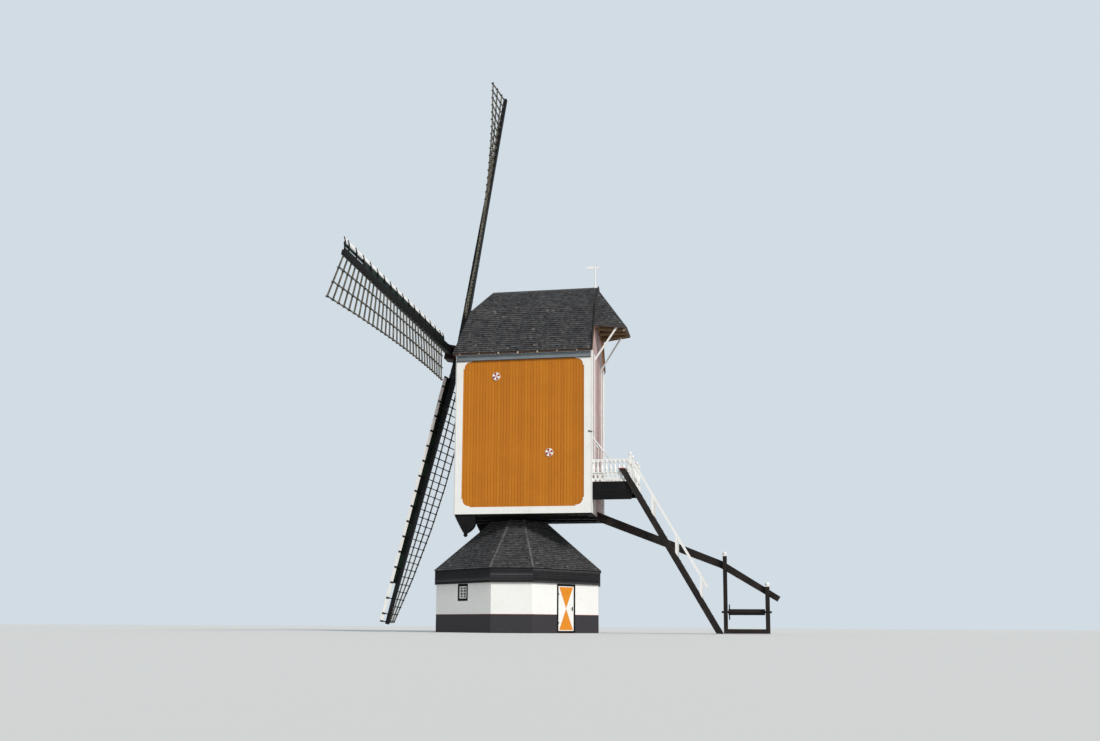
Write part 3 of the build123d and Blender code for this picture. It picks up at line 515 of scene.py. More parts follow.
def moved_verts(result: dict) -> list:
    """Return the new points of an extrusion."""
    return [item for item in result["geom"] if isinstance(item, bmesh.types.BMVert)]


def ease(part: Mesh, edge: float) -> None:
    """Ease every edge of a mesh with one flat."""
    if edge:
        bmesh.ops.bevel(part, geom=part.edges[:], offset=edge, offset_type="OFFSET", segments=1, profile=0.5,
                        affect="EDGES", material=-1)


def link(name: str, data: object) -> bpy.types.Object:
    """Make an object and link it to the scene.

    Args:
        name: Its name.
        data: Its mesh, light or camera.

    Returns:
        The object.
    """
    made = bpy.data.objects.new(name, data)
    bpy.context.scene.collection.objects.link(made)
    return made


@dataclass
class Piece:
    """One visible object, put together from timbers, turnings and plates in a single mesh."""

    name: str
    mesh: Mesh = field(default_factory=bmesh.new)

    def __post_init__(self) -> None:
        """Give the mesh its layers and the piece its own chance."""
        self.add_layers(self.mesh)
        self.chance = random.Random(self.name)

    def add_layers(self, mesh: Mesh) -> None:
        """Add the layers that every finish reads: a tone for each point and the grain's own map."""
        mesh.verts.layers.float.new("tone")
        mesh.loops.layers.uv.new("grain")

    def start(self) -> Mesh:
        """Return an empty mesh with the same layers, for one timber."""
        part = bmesh.new()
        self.add_layers(part)
        return part

    def merge(self, part: Mesh) -> None:
        """Add a part's mesh to the piece and free it.

        Args:
            part: The part's mesh.
        """
        mesh = bpy.data.meshes.new("part")
        part.to_mesh(mesh)
        part.free()
        self.mesh.from_mesh(mesh)
        bpy.data.meshes.remove(mesh)

    def take(self, part: Mesh, origin: Vector, along: Vector, across: Vector, tone: Optional[float] = None,
             slot: int = 0, smooth: bool = False) -> None:
        """Mark a timber's tone and grain and add it to the piece.

        Args:
            part: The timber's own mesh, which is freed.
            origin: Where its grain map starts.
            along: The way of its grain.
            across: A way across its grain.
            tone: From -1, dark, to 1, light, or None for chance.
            slot: Number of its material.
            smooth: Whether its faces are shaded smooth.
        """
        shade = self.chance.uniform(-1, 1) if tone is None else tone
        shift = self.chance.uniform(0, 40)
        tones = part.verts.layers.float["tone"]
        grain = part.loops.layers.uv["grain"]
        third = along.cross(across)
        for vert in part.verts:
            vert[tones] = shade
        for face in part.faces:
            face.material_index = slot
            face.smooth = smooth
            for loop in face.loops:
                place = loop.vert.co - origin
                loop[grain].uv = (place.dot(along) + shift, place.dot(across) + place.dot(third) + shift)
        self.merge(part)

    def timber(self, first: Place, last: Place, width: float, depth: float, side: Place = X, edge: float = 0.0,
               end_size: Optional[tuple[float, float]] = None, tone: Optional[float] = None,
               slot: int = 0) -> None:
        """Lay a square-cut timber between two points.

        Args:
            first: Middle of its first end.
            last: Middle of its last end.
            width: Its size along side.
            depth: Its size across side.
            side: The way that its width is measured.
            edge: How much its edges are eased.
            end_size: Width and depth at the last end, where it tapers.
            tone: From -1 to 1, or None for chance.
            slot: Number of its material.
        """
        one, other = Vector(first), Vector(last)
        along = unit(other - one)
        thick = unit(along.cross(Vector(side)))
        wide = thick.cross(along)
        length = (other - one).length
        part = self.start()
        turn = Matrix((along, wide, thick)).transposed().to_4x4()
        bmesh.ops.create_cube(part, size=1.0, matrix=Matrix.Diagonal((length, width, depth, 1.0)))
        if end_size:
            shares = (1.0, end_size[0] / width, end_size[1] / depth)
            bmesh.ops.scale(part, vec=shares, verts=[vert for vert in part.verts if vert.co.x > 0])
        ease(part, edge)
        bmesh.ops.transform(part, matrix=Matrix.Translation((one + other) / 2) @ turn, verts=part.verts)
        self.take(part, one, along, wide, tone, slot)

    def upright(self, spot: Place, low: float, high: float, *sizes: object, **options: object) -> None:
        """Stand a timber upright.

        Args:
            spot: Its place from above.
            low: Height of its foot.
            high: Height of its head.
            *sizes: Its width, depth and what follows them in a timber.
            **options: More of what a timber takes.
        """
        foot = Vector((spot[0], spot[1], 0))
        self.timber(foot + Z * low, foot + Z * high, *sizes, **options)

    def plate(self, outline: Sequence[Place], thickness: Place, edge: float = 0.0,
              tone: Optional[float] = None, slot: int = 0) -> None:
        """Cut a flat plate to an outline.

        Args:
            outline: Its corners, in order.
            thickness: The way and distance from that face to the other.
            edge: How much its edges are eased.
            tone: From -1 to 1, or None for chance.
            slot: Number of its material.
        """
        part = self.start()
        face = part.faces.new([part.verts.new(Vector(corner)) for corner in outline])
        pushed = bmesh.ops.extrude_face_region(part, geom=[face], use_keep_orig=True)
        bmesh.ops.translate(part, vec=Vector(thickness), verts=moved_verts(pushed))
        bmesh.ops.recalc_face_normals(part, faces=part.faces[:])
        ease(part, edge)
        along = unit(Vector(outline[1]) - Vector(outline[0]))
        self.take(part, Vector(outline[0]), along, along.cross(unit(Vector(thickness))), tone, slot)

    def rod(self, first: Place, last: Place, radius: float, sides: int = 12) -> None:
        """Lay a round rod between two points.

        Args:
            first: Middle of its first end.
            last: Middle of its last end.
            radius: Its radius.
            sides: Number of its flats, shaded smooth above eight.
        """
        one, other = Vector(first), Vector(last)
        along = unit(other - one)
        part = self.start()
        turn = along.to_track_quat("Z", "Y").to_matrix().to_4x4()
        bmesh.ops.create_cone(part, cap_ends=True, segments=sides, radius1=radius, radius2=radius,
                              depth=(other - one).length,
                              matrix=Matrix.Translation((one + other) / 2) @ turn)
        self.take(part, one, along, unit(along.orthogonal()), smooth=sides > 8)

    def turning(self, foot: Place, profile: Sequence[tuple[float, float]], sides: int) -> None:
        """Turn an upright spindle on the lathe.

        Args:
            foot: Middle of its foot.
            profile: Radius and height of each point, from the foot up.
            sides: Steps round it.
        """
        part = self.start()
        base = Vector(foot)
        points = [part.verts.new(base + Vector((radius, 0, height))) for radius, height in profile]
        edges = [part.edges.new(pair) for pair in zip(points, points[1:])]
        bmesh.ops.spin(part, geom=points + edges, cent=base, axis=Z, angle=math.tau, steps=sides,
                       use_merge=True)
        bmesh.ops.remove_doubles(part, verts=part.verts[:], dist=1e-5)
        bmesh.ops.recalc_face_normals(part, faces=part.faces[:])
        self.take(part, base, Z, X, smooth=True)

    def ball(self, centre: Place, radius: float) -> None:
        """Set a turned ball.

        Args:
            centre: Its middle.
            radius: Its radius.
        """
        part = self.start()
        place = Matrix.Translation(Vector(centre))
        bmesh.ops.create_uvsphere(part, u_segments=20, v_segments=12, radius=radius, matrix=place)
        self.take(part, Vector(centre), Z, X, smooth=True)

    def fit(self, body: str, slot: str, *finishes: Finish, replaces: Iterable[str] = (),
            lay: Lay = Lay.PIECE) -> None:
        """Finish the piece: make its object, give it its materials and let it ride.

        Args:
            body: The body that carries it.
            slot: The record's material slot; not used.
            *finishes: Its finishes, in the order of their numbers.
            replaces: The nodes that it stands for.
            lay: Which way its grain runs.
        """
        mesh = bpy.data.meshes.new(self.name)
        self.mesh.to_mesh(mesh)
        self.mesh.free()
        for finish in finishes:
            mesh.materials.append(finish.material(lay))
        made = link(self.name, mesh)
        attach(made, body)
        if replaces:
            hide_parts(*replaces)
        LOG.info("%s: %d faces on %s", self.name, len(mesh.polygons), body)


@dataclass
class Shingler:
    """Covers a flat roof face with courses of split shingles."""

    width: float = 0.125
    width_spread: tuple[float, float] = (0.75, 1.25)
    joint: float = 0.004
    exposure: float = 0.117
    overlap: float = 1.9
    drop: float = 0.006
    thickness: float = 0.018
    lift: float = 0.034
    # A shingle is lighter at its butt and darker towards its covered head: the dark head is painted shade under
    # the course above, which draws the course lines
    butt_tone: float = 0.75
    shaded_head_tone: float = -2.1
    spread: float = 0.2
    middle_tone: float = -0.1
    pale_share: float = 0.005
    pale_tone: float = 1.1

    def cover(self, piece: Piece, corners: Sequence[Place]) -> None:
        """Lay the courses of one roof face, cut to its sides.

        Args:
            piece: The piece that takes the shingles.
            corners: The face's eave, left to right from outside, and then its top, right to left.
        """
        places = [Vector(corner) for corner in corners]
        left, right = places[0], places[1]
        along = unit(right - left)
        rise = places[2] - right
        up = unit(rise - along * rise.dot(along))
        out = along.cross(up)
        height = rise.dot(up)
        low = min(point.dot(along) for point in places)
        high = max(point.dot(along) for point in places)
        part = piece.start()
        tones = part.verts.layers.float["tone"]
        grain = part.loops.layers.uv["grain"]
        full = self.exposure * self.overlap
        tilt = math.atan2(self.lift, full)
        slope = up * math.cos(tilt) - out * math.sin(tilt)
        turn = Matrix((along, slope, along.cross(slope))).transposed().to_4x4()
        for course in range(math.ceil(height / self.exposure)):
            start = low - piece.chance.uniform(0, self.width)
            length = min(full, height - course * self.exposure + 0.01)
            # Painted shade: how far the tone falls from the butt to the covered head
            fall = (self.butt_tone - self.shaded_head_tone) * length / full
            while start < high:
                breadth = self.width * piece.chance.uniform(*self.width_spread)
                drop = piece.chance.uniform(-self.drop, self.drop)
                centre = (
                    left
                    + along * (start + breadth / 2 - left.dot(along))
                    + up * (course * self.exposure + drop + length / 2)
                    + out * (self.lift / 2)
                )
                size = Matrix.Diagonal((breadth - self.joint, length, self.thickness, 1.0))
                place = Matrix.Translation(centre) @ turn @ size
                made = bmesh.ops.create_cube(part, size=1.0, matrix=place)
                shade = piece.chance.gauss(self.middle_tone, self.spread)
                if piece.chance.random() < self.pale_share:
                    shade = self.pale_tone
                shift = piece.chance.uniform(0, 40)
                for vert in made["verts"]:
                    covered = (vert.co - centre).dot(slope) > 0
                    vert[tones] = shade + self.butt_tone - (fall if covered else 0.0)
                    for loop in vert.link_loops:
                        reach = vert.co - left
                        loop[grain].uv = (reach.dot(up) + shift, reach.dot(along) + shift)
                start += breadth
        middle = sum(places, Vector()) / len(places)
        for index in (1, len(places) - 1):
            first, second = places[index], places[(index + 1) % len(places)]
            cut = unit(out.cross(second - first))
            if cut.dot(middle - first) > 0:
                cut = -cut
            geometry = part.verts[:] + part.edges[:] + part.faces[:]
            sliced = bmesh.ops.bisect_plane(part, geom=geometry, dist=1e-6, plane_co=first, plane_no=cut,
                                            clear_outer=True)
            edges = [item for item in sliced["geom_cut"] if isinstance(item, bmesh.types.BMEdge)]
            bmesh.ops.holes_fill(part, edges=edges, sides=0)
        piece.merge(part)


def dress(nodes: dict, finish: Finish | WindowGlass, lay: Lay, *names: str) -> None:
    """Give carried-over nodes of the frame a finish.

    Args:
        nodes: The frame's nodes by name.
        finish: The finish.
        lay: Which way its grain runs.
        *names: Which of the nodes.
    """
    for name in names:
        mesh = nodes[name].data
        mesh.materials.clear()
        mesh.materials.append(finish.material(lay))


@dataclass
class BaseHouse:
    """The eight-sided base house: walls, fascia, shingled roof, door and windows."""

    turn: float = math.radians(7.0)
    narrow_distance: float = 3.55
    narrow_half: float = 0.854
    fascia_bottom: float = 2.07
    fascia_rows: int = 6
    fascia_butt: float = 0.085
    fascia_head: float = 0.062
    wall_top: float = 2.66
    eave_distance: float = 3.645
    roof_top: float = 4.88
    mouth_distance: float = 1.15
    window_faces: tuple[float, ...] = (-45, 135, 225)
    window_width: float = 0.70
    window_bottom: float = 1.33
    window_top: float = 2.06
    window_depth: float = 0.030
    frame_width: float = 0.06
    casing: float = 0.05
    sash: float = 0.04
    door_face: float = 45
    door_width: float = 0.868
    door_bottom: float = 0.096
    door_top: float = 1.964
    door_thickness: float = 0.030
    door_boards: int = 5
    ledge_heights: tuple[float, ...] = (0.48, 1.68)
    latch_side: float = 0.36
    latch_height: float = 1.02

    def ring(self, distance: float, height: float, scale: float = 1.0) -> list[Vector]:
        """Return the eight corners of the house's outline.

        Args:
            distance: Distance of its narrow faces from the post.
            height: Height of the outline.
            scale: Its size against that outline.

        Returns:
            The corners, anticlockwise from above.
        """
        half = self.narrow_half + (distance - self.narrow_distance) * (math.sqrt(2) - 1)
        corners = []
        for quarter in range(4):
            for y in (-half, half):
                corner = Vector((distance * scale, y * scale, height))
                corner.rotate(Matrix.Rotation(self.turn + quarter * math.pi / 2, 3, "Z"))
                corners.append(corner)
        return corners

    def face(self, degrees: float) -> tuple[Vector, Vector, Vector]:
        """Place one of the long faces.

        Args:
            degrees: Its bearing in the house.

        Returns:
            Its middle at the ground, its way along and its way out.
        """
        angle = math.radians(degrees) + self.turn
        out = Vector((math.cos(angle), math.sin(angle), 0))
        distance = (self.narrow_distance + self.narrow_half) / math.sqrt(2)
        return out * distance, Z.cross(out), out

    def build_fascia(self) -> None:
        """Lap tarred boards round the top of the walls."""
        piece = Piece("base_fascia_boards")
        height = (self.wall_top - self.fascia_bottom) / self.fascia_rows
        steps = (0, self.fascia_butt, self.fascia_head)
        inner, butt, head = [self.ring(self.narrow_distance + step, 0) for step in steps]
        for row in range(self.fascia_rows):
            low = Z * (self.fascia_bottom + row * height)
            high = Z * (self.fascia_bottom + row * height + height)
            for index in range(8):
                following = (index + 1) % 8
                part = piece.start()
                ends = []
                for corner in (index, following):
                    ring = (inner[corner] + low, butt[corner] + low, head[corner] + high, inner[corner] + high)
                    ends.append([part.verts.new(point) for point in ring])
                part.faces.new(ends[0][::-1])
                part.faces.new(ends[1])
                edges = []
                for ring in ends:
                    for pair in zip(ring, ring[1:] + ring[:1]):
                        edges.append(part.edges.get(pair) or part.edges.new(pair))
                bmesh.ops.bridge_loops(part, edges=edges)
                bmesh.ops.recalc_face_normals(part, faces=part.faces[:])
                along = unit(butt[following] - butt[index])
                piece.take(part, butt[index] + low, along, unit((butt[index] + butt[following]) / 2))
        piece.fit("base", "tarred_boards", Paintshop.worn_tar, replaces=["base_fascia"])

    def build_roof(self) -> None:
        """Shingle the eight faces of the base's roof and cap its hips."""
        piece = Piece("base_roof_shingles")
        caps = Piece("base_roof_hips")
        eave = self.ring(self.eave_distance, self.wall_top)
        top = self.ring(self.eave_distance, self.roof_top, self.mouth_distance / self.eave_distance)
        shingler = Shingler()
        for index in range(8):
            following = (index + 1) % 8
            shingler.cover(piece, (eave[index], eave[following], top[following], top[index]))
            low = eave[index] + unit(Vector((eave[index].x, eave[index].y, 0))) * 0.01 + Z * 0.028
            high = top[index] + Z * 0.03
            side = unit(Vector((-low.y, low.x, 0)))
            courses = round((high - low).length / shingler.exposure)
            for course in range(courses):
                start = low.lerp(high, course / courses) + Z * 0.022
                end = low.lerp(high, (course + 1.25) / courses if course < courses - 1 else 1.0)
                caps.timber(start, end, 0.085, 0.014, side, tone=caps.chance.uniform(0.3, 1.3))
        piece.fit("base", "shingles", Paintshop.shingle)
        caps.fit("base", "shingles", Paintshop.shingle)

    def build_windows(self) -> None:
        """Set white sashes with glazing bars in black casings, in the window frames."""
        sashes = Piece("base_window_sashes")
        casings = Piece("base_window_casings")
        casing, sash = self.casing, self.sash
        clear = self.window_width - 2 * (self.frame_width + casing)
        low = self.window_bottom + self.frame_width + casing
        high = self.window_top - self.frame_width - casing
        levels = (
            (casings, low - casing / 2, casing, 0.05),
            (casings, high + casing / 2, casing, 0.05),
            (sashes, low + sash / 2, sash, 0.038),
            (sashes, high - sash / 2, sash, 0.038),
        )
        for degrees in self.window_faces:
            foot, along, out = self.face(degrees)
            middle = foot - out * self.window_depth
            left = middle - along * clear / 2
            for side in (-1, 1):
                edge = middle + along * side * (clear + casing) / 2
                casings.upright(edge, low - casing, high + casing, casing, 0.05, along, 0.003)
                edge = middle + along * side * (clear / 2 - sash / 2)
                sashes.upright(edge, low, high, sash, 0.04, along, 0.003)
            for piece, height, width, depth in levels:
                start = left + Z * height
                piece.timber(start, start + along * clear, width, depth, Z, 0.003)
            sashes.upright(middle, low, high, 0.03, 0.036, along, 0.003)
            for step in (1, 2, 3):
                start = left + Z * (low + (high - low) * step / 4)
                sashes.timber(start, start + along * clear, 0.022, 0.03, Z, 0.002)
        sashes.fit("base", "white_paint", Paintshop.white)
        casings.fit("base", "tarred_boards", Paintshop.tar)

    def build_door(self) -> None:
        """Board the door leaf, ledge it inside and paint its hourglass."""
        foot, along, out = self.face(self.door_face)
        width, thick = self.door_width, self.door_thickness
        piece = Piece("base_door_boards")
        each = width / self.door_boards
        for board in range(self.door_boards):
            middle = foot + along * (-width / 2 + (board + 0.5) * each) - out * thick / 2
            piece.upright(middle, self.door_bottom, self.door_top, each - 0.001, thick, along, 0.004, tone=0.0)
        for height in self.ledge_heights:
            start = foot - out * (thick + 0.0125) + Z * height - along * (width / 2 - 0.05)
            piece.timber(start, start + along * (width - 0.1), 0.16, 0.025, Z, 0.004)
        piece.fit("door", "door_paint", Paintshop.door, replaces=["base_door_leaf"])
        latch = Piece("base_door_latch")
        spot = foot + along * self.latch_side + Z * self.latch_height
        corners = ((-0.03, -0.09), (0.03, -0.09), (0.03, 0.09), (-0.03, 0.09))
        latch.plate([spot + along * x + Z * z for x, z in corners], out * 0.005, 0.001)
        latch.rod(spot, spot + out * 0.022, 0.010)
        latch.rod(spot + out * 0.014 + along * 0.01, spot + out * 0.014 - along * 0.11, 0.007)
        latch.fit("door", "iron", Paintshop.iron, lay=Lay.EVEN)

    def build(self, nodes: dict) -> None:
        """Dress the base house.

        Args:
            nodes: The frame's nodes by name.
        """
        dress(nodes, Paintshop.plaster, Lay.EVEN, "base_narrow_walls", "base_window_walls", "base_door_walls",
              "base_wall_over_door")
        dress(nodes, Paintshop.stone, Lay.EVEN, "base_floor")
        dress(nodes, Paintshop.brick, Lay.EVEN, "base_piers")
        dress(nodes, Paintshop.tar, Lay.UPRIGHT, "base_door_frame", "base_window_frames")
        dress(nodes, Paintshop.glass, Lay.EVEN, "base_window_glass")
        dress(nodes, Paintshop.tar, Lay.EVEN, "base_roof")
        dress(nodes, Paintshop.door, Lay.EVEN, "base_door_straps")
        dress(nodes, Paintshop.oak, Lay.EVEN, "trestle")
        dress(nodes, Paintshop.oak, Lay.UPRIGHT, "main_post", "post_saddle")
        self.build_fascia()
        self.build_roof()
        self.build_windows()
        self.build_door()


@dataclass
class Buck:
    """The boarded body: walls, trims, hatches, roof and hood."""

    half_width: float = 2.10
    front: float = -2.44
    rear: float = 3.54
    bottom: float = 5.07
    top: float = 12.19
    trim_side: float = 0.30
    board: float = 0.133
    end_boards: int = 34
    eave_half: float = 2.28
    eave_front: float = -2.60
    knee_half: float = 1.20
    knee_front: float = -2.08
    knee: float = 14.40
    ridge: float = 15.61
    ridge_front: float = -1.34
    roof_rear: float = 3.60
    door_half: float = 0.56
    door_sill: float = 6.33
    door_head: float = 8.32
    bracket_pitch: float = 0.87
    hatches: tuple = ((-0.65, 11.13), (1.73, 7.70))
    hatch_radius: float = 0.175
    hatch_fields: int = 8
    hood_bottom: float = 13.46
    hood_top: float = 15.53
    hood_rear: float = 4.94
    hood_half: float = 1.45
    hood_rear_half: float = 0.80
    drop_radius: float = 0.094
    hook_height: float = 8.59

    def profile(self, side: int, y: float = 0.0) -> tuple[Vector, Vector, Vector]:
        """Place the roof's eave, knee and ridge.

        Args:
            side: Which side of the body, 1 or -1.
            y: The place along the mill.

        Returns:
            The three points.
        """
        return (
            Vector((side * self.eave_half, y, self.top)),
            Vector((side * self.knee_half, y, self.knee)),
            Vector((0, y, self.ridge)),
        )

    def build_side_boards(self) -> None:
        """Board both sides with narrow upright boards, inside the white frames."""
        piece = Piece("body_side_boards")
        first = self.front + self.trim_side - 0.05
        run = self.rear - self.trim_side + 0.05 - first
        count = round(run / self.board)
        pitch = run / count
        for side in (1, -1):
            for index in range(count):
                spot = (side * (self.half_width + 0.008), first + (index + 0.5) * pitch)
                piece.upright(spot, self.bottom + 0.25, self.top - 0.3, pitch - 0.010, 0.016, Y, 0.005)
        piece.fit("mill_body", "ochre_boards", Paintshop.ochre)

    def build_end_boards(self) -> None:
        """Board the front and rear walls and trim their corners white."""
        boards = Piece("body_end_boards")
        white = Piece("body_end_trims")
        pitch = 2 * self.half_width / self.end_boards
        slope = (self.knee - self.top) / (self.eave_half - self.knee_half)
        for end, y in ((-1, self.front), (1, self.rear)):
            for index in range(self.end_boards):
                x = -self.half_width + (index + 0.5) * pitch
                spot = (x, y + end * 0.008)
                low, high = self.bottom, self.top
                if end == 1:
                    under_roof = self.top + (self.eave_half - abs(x) - pitch / 2) * slope - 0.36
                    high = min(self.hood_bottom - 0.06, under_roof)
                    if abs(x) < self.door_half:
                        low = self.door_head
                boards.upright(spot, low, high, pitch - 0.006, 0.016, X, 0.005)
                if low > self.bottom:
                    boards.upright(spot, self.bottom, self.door_sill, pitch - 0.006, 0.016, X, 0.005)
            for side in (1, -1):
                for inward, width, depth, edge in ((0.17, 0.34, 0.045, 0.005), (0.95, 0.11, 0.03, 0.004)):
                    spot = (side * (self.half_width - inward), y + end * 0.03)
                    white.upright(spot, self.bottom, self.top, width, depth, X, edge)
        boards.fit("mill_body", "rear_boards", Paintshop.rear)
        white.fit("mill_body", "white_paint", Paintshop.white)

    def build_gutters(self) -> None:
        """Fix the eave boards under the roof, with a narrow gutter over each, on brackets."""
        gutters = Piece("eave_gutters")
        boards = Piece("eave_boards")
        for side in (1, -1):
            x, z = side * (self.eave_half - 0.01), self.top - 0.05
            gutters.timber((x, self.eave_front, z), (x, self.roof_rear, z), 0.06, 0.05, Z, 0.008)
            y = self.eave_front + 0.32
            while y < self.roof_rear:
                gutters.upright((x, y), z - 0.045, z + 0.04, 0.075, 0.065, Y, 0.01, slot=1)
                y += self.bracket_pitch
            x, z = side * (self.half_width + 0.066), self.top - 0.20
            boards.timber((x, self.front, z), (x, self.rear, z), 0.24, 0.014, Z, 0.003)
            # A thin brown strip just under each eave board: a painted shadow line under the board
            boards.timber((x, self.front, z - 0.135), (x, self.rear, z - 0.135), 0.03, 0.02, Z, slot=1)
        gutters.fit("mill_body", "white_paint", Paintshop.brown, Paintshop.tan)
        # The eave boards' grey is painted shade of the eave over white boards
        boards.fit("mill_body", "white_paint", Paintshop.eave_shade_grey, Paintshop.brown)

    def build_hatches(self) -> None:
        """Paint each round hatch as a pinwheel in a white ring."""
        piece = Piece("pinwheel_hatches")
        for side in (1, -1):
            for y, z in self.hatches:
                centre = Vector((side * (self.half_width + 0.045), y, z))
                inward = X * (-side * 0.045)
                for step in range(self.hatch_fields):
                    outline = [centre]
                    for share in range(5):
                        angle = math.tau * (step + share / 4) / self.hatch_fields
                        spot = Vector((0, math.cos(angle), math.sin(angle))) * self.hatch_radius * 0.95
                        outline.append(centre + spot)
                    piece.plate(outline, inward, tone=0.0, slot=step % 2)
                self.ring_hatch(piece, centre, side, inward)
        piece.fit("mill_body", "white_paint", Paintshop.red, Paintshop.white, replaces=["round_hatches"])

    def ring_hatch(self, piece: Piece, centre: Vector, side: int, inward: Vector) -> None:
        """Set the thin white ring of one hatch.

        Args:
            piece: The piece that takes it.
            centre: The hatch's middle.
            side: Which side of the body, 1 or -1.
            inward: The ring's depth, towards the wall.
        """
        ring = piece.start()
        place = Matrix.Translation(centre) @ Matrix.Rotation(math.pi / 2, 4, "Y")
        made = bmesh.ops.create_circle(ring, segments=40, radius=self.hatch_radius, matrix=place)
        lip = moved_verts(bmesh.ops.extrude_edge_only(ring, edges=ring.edges[:]))
        bmesh.ops.scale(ring, vec=(1, 0.93, 0.93), space=Matrix.Translation(-centre), verts=lip)
        bmesh.ops.translate(ring, vec=(side * 0.006, 0, 0), verts=lip)
        outer = [edge for edge in ring.edges if all(vert in made["verts"] for vert in edge.verts)]
        back = moved_verts(bmesh.ops.extrude_edge_only(ring, edges=outer))
        bmesh.ops.translate(ring, vec=inward, verts=back)
        bmesh.ops.recalc_face_normals(ring, faces=ring.faces[:])
        piece.take(ring, centre, Y, Z, 0.0, 1)

    def build_roof(self) -> None:
        """Shingle every face of the roof and cap its ridge and edges."""
        shingler = Shingler()
        front_eaves = {side: self.profile(side, self.eave_front)[0] for side in (1, -1)}
        front_knees = {side: self.profile(side, self.knee_front)[1] for side in (1, -1)}
        front_peak = self.profile(1, self.ridge_front)[2]
        for side, name in ((1, "right"), (-1, "left")):
            piece = Piece(f"roof_shingles_{name}")
            eave, knee, peak = self.profile(side, self.roof_rear)
            lower = [front_eaves[side], eave, knee, front_knees[side]]
            upper = [front_knees[side], knee, peak, front_peak]
            for face in (lower, upper):
                shingler.cover(piece, face if side == 1 else [face[1], face[0], face[3], face[2]])
            piece.fit("mill_body", "shingles", Paintshop.shingle)
        front = Piece("roof_shingles_front")
        thin = Shingler(thickness=0.008, lift=0.012)
        thin.cover(front, [front_eaves[-1], front_eaves[1], front_knees[1], front_knees[-1]])
        thin.cover(front, [front_knees[-1], front_knees[1], front_peak])
        front.fit("mill_body", "shingles", Paintshop.shingle)
        self.build_caps()

    def build_caps(self) -> None:
        """Cap the ridge and the roof's rear edges, and board the gable's edges below them."""
        caps = Piece("roof_caps")
        edges = Piece("gable_edge_boards")
        ridge = [Vector((0, y, self.ridge)) + Z * 0.028 for y in (self.ridge_front, self.roof_rear)]
        for side in (1, -1):
            way = unit(Vector((side * self.knee_half, 0, self.knee - self.ridge))) * 0.07
            caps.timber(ridge[0] + way, ridge[1] + way, 0.15, 0.02, way, 0.005)
            eave = Vector((side * (self.half_width - 0.02), self.rear + 0.03, self.top + 0.02))
            knee = Vector((side * 1.10, self.rear + 0.03, self.knee - 0.35))
            edges.timber(eave, knee, 0.24, 0.03, X, 0.004)
        for side in (1, -1):
            eave, knee, peak = self.profile(side, self.roof_rear)
            out = X * (side * 0.02)
            for first, last in ((eave, knee), (knee, peak)):
                caps.timber(first + out, last + out, 0.035, 0.19, Y, 0.005)
        edges.fit("mill_body", "ochre_boards", Paintshop.ochre)
        caps.fit("mill_body", "shingles", Paintshop.shingle)

    def build_hood(self) -> None:
        """Shingle the hood over the rear gable, edge it and show its rafters."""
        bottom = self.hood_bottom
        apex = Vector((0, self.rear, self.hood_top))
        wall = [Vector((side * self.hood_half, self.rear, bottom)) for side in (1, -1)]
        foot = [Vector((side * self.hood_rear_half, self.hood_rear, bottom)) for side in (1, -1)]
        piece = Piece("hood_shingles")
        shingler = Shingler()
        for corners in ((foot[0], foot[1], apex), (wall[0], foot[0], apex), (foot[1], wall[1], apex)):
            shingler.cover(piece, corners)
        piece.fit("mill_body", "shingles", Paintshop.shingle)
        frame = Piece("hood_edges")
        for first, last in ((wall[0], foot[0]), (foot[0], foot[1]), (foot[1], wall[1])):
            frame.timber(first + Z * 0.02, last + Z * 0.02, 0.03, 0.09, Z.cross(last - first), 0.006, slot=1)
        for share in (0.2, 0.5, 0.8):
            start = wall[0].lerp(wall[1], share) + Vector((0, 0.05, -0.03))
            end = foot[0].lerp(foot[1], share) + Vector((0, -0.05, -0.03))
            frame.timber(start, end, 0.07, 0.09, X, 0.006)
        corner = foot[0] + Vector((-0.06, -0.02, 0.0))
        frame.timber(corner, corner - Vector((0, 0.14, 0.12)), 0.09, 0.09, X, 0.01, slot=2)
        frame.fit("mill_body", "oak", Paintshop.oak, Paintshop.brown, Paintshop.tan)

    def build_ironwork(self) -> None:
        """Set the turned drops under the corbels and the hook on the near rear corner."""
        drops = Piece("corbel_drops")
        for side in (1, -1):
            centre = (side * (self.half_width - 0.17), self.front + 0.465, self.bottom - 0.88)
            drops.ball(centre, self.drop_radius)
        drops.fit("mill_body", "tarred_boards", Paintshop.tar)
        hook = Piece("stay_hook")
        spot = Vector((self.half_width + 0.02, self.rear - 0.09, self.hook_height))
        hook.timber(spot - Z * 0.14, spot + Z * 0.14, 0.05, 0.02, Y, 0.004)
        hook.rod(spot, spot + X * 0.04, 0.03, 10)
        hook.rod(spot + Vector((0.03, -0.02, 0)), spot + Vector((0.03, 0.15, -0.03)), 0.022, 10)
        hook.fit("mill_body", "iron", Paintshop.iron, lay=Lay.EVEN)

    def build(self, nodes: dict) -> None:
        """Dress the body.

        Args:
            nodes: The frame's nodes by name.
        """
        dress(nodes, Paintshop.ochre, Lay.UPRIGHT, "body_side_walls")
        dress(nodes, Paintshop.rear, Lay.UPRIGHT, "body_end_walls", "rear_gable", "rear_door")
        dress(nodes, Paintshop.white, Lay.UPRIGHT, "body_trims", "rear_door_frame", "hood_braces")
        dress(nodes, Paintshop.white, Lay.EVEN, "vane_rod", "vane")
        dress(nodes, Paintshop.tar, Lay.LEVEL_Y, "body_bottom_frame")
        dress(nodes, Paintshop.pole, Lay.LEVEL_X, "body_floor")
        dress(nodes, Paintshop.oak, Lay.LEVEL_X, "crown_tree", "shaft_beams")
        dress(nodes, Paintshop.oak, Lay.LEVEL_Y, "roof_front", "roof_right", "roof_left", "rear_hood")
        self.build_side_boards()
        self.build_end_boards()
        self.build_gutters()
        self.build_hatches()
        self.build_roof()
        self.build_hood()
        self.build_ironwork()


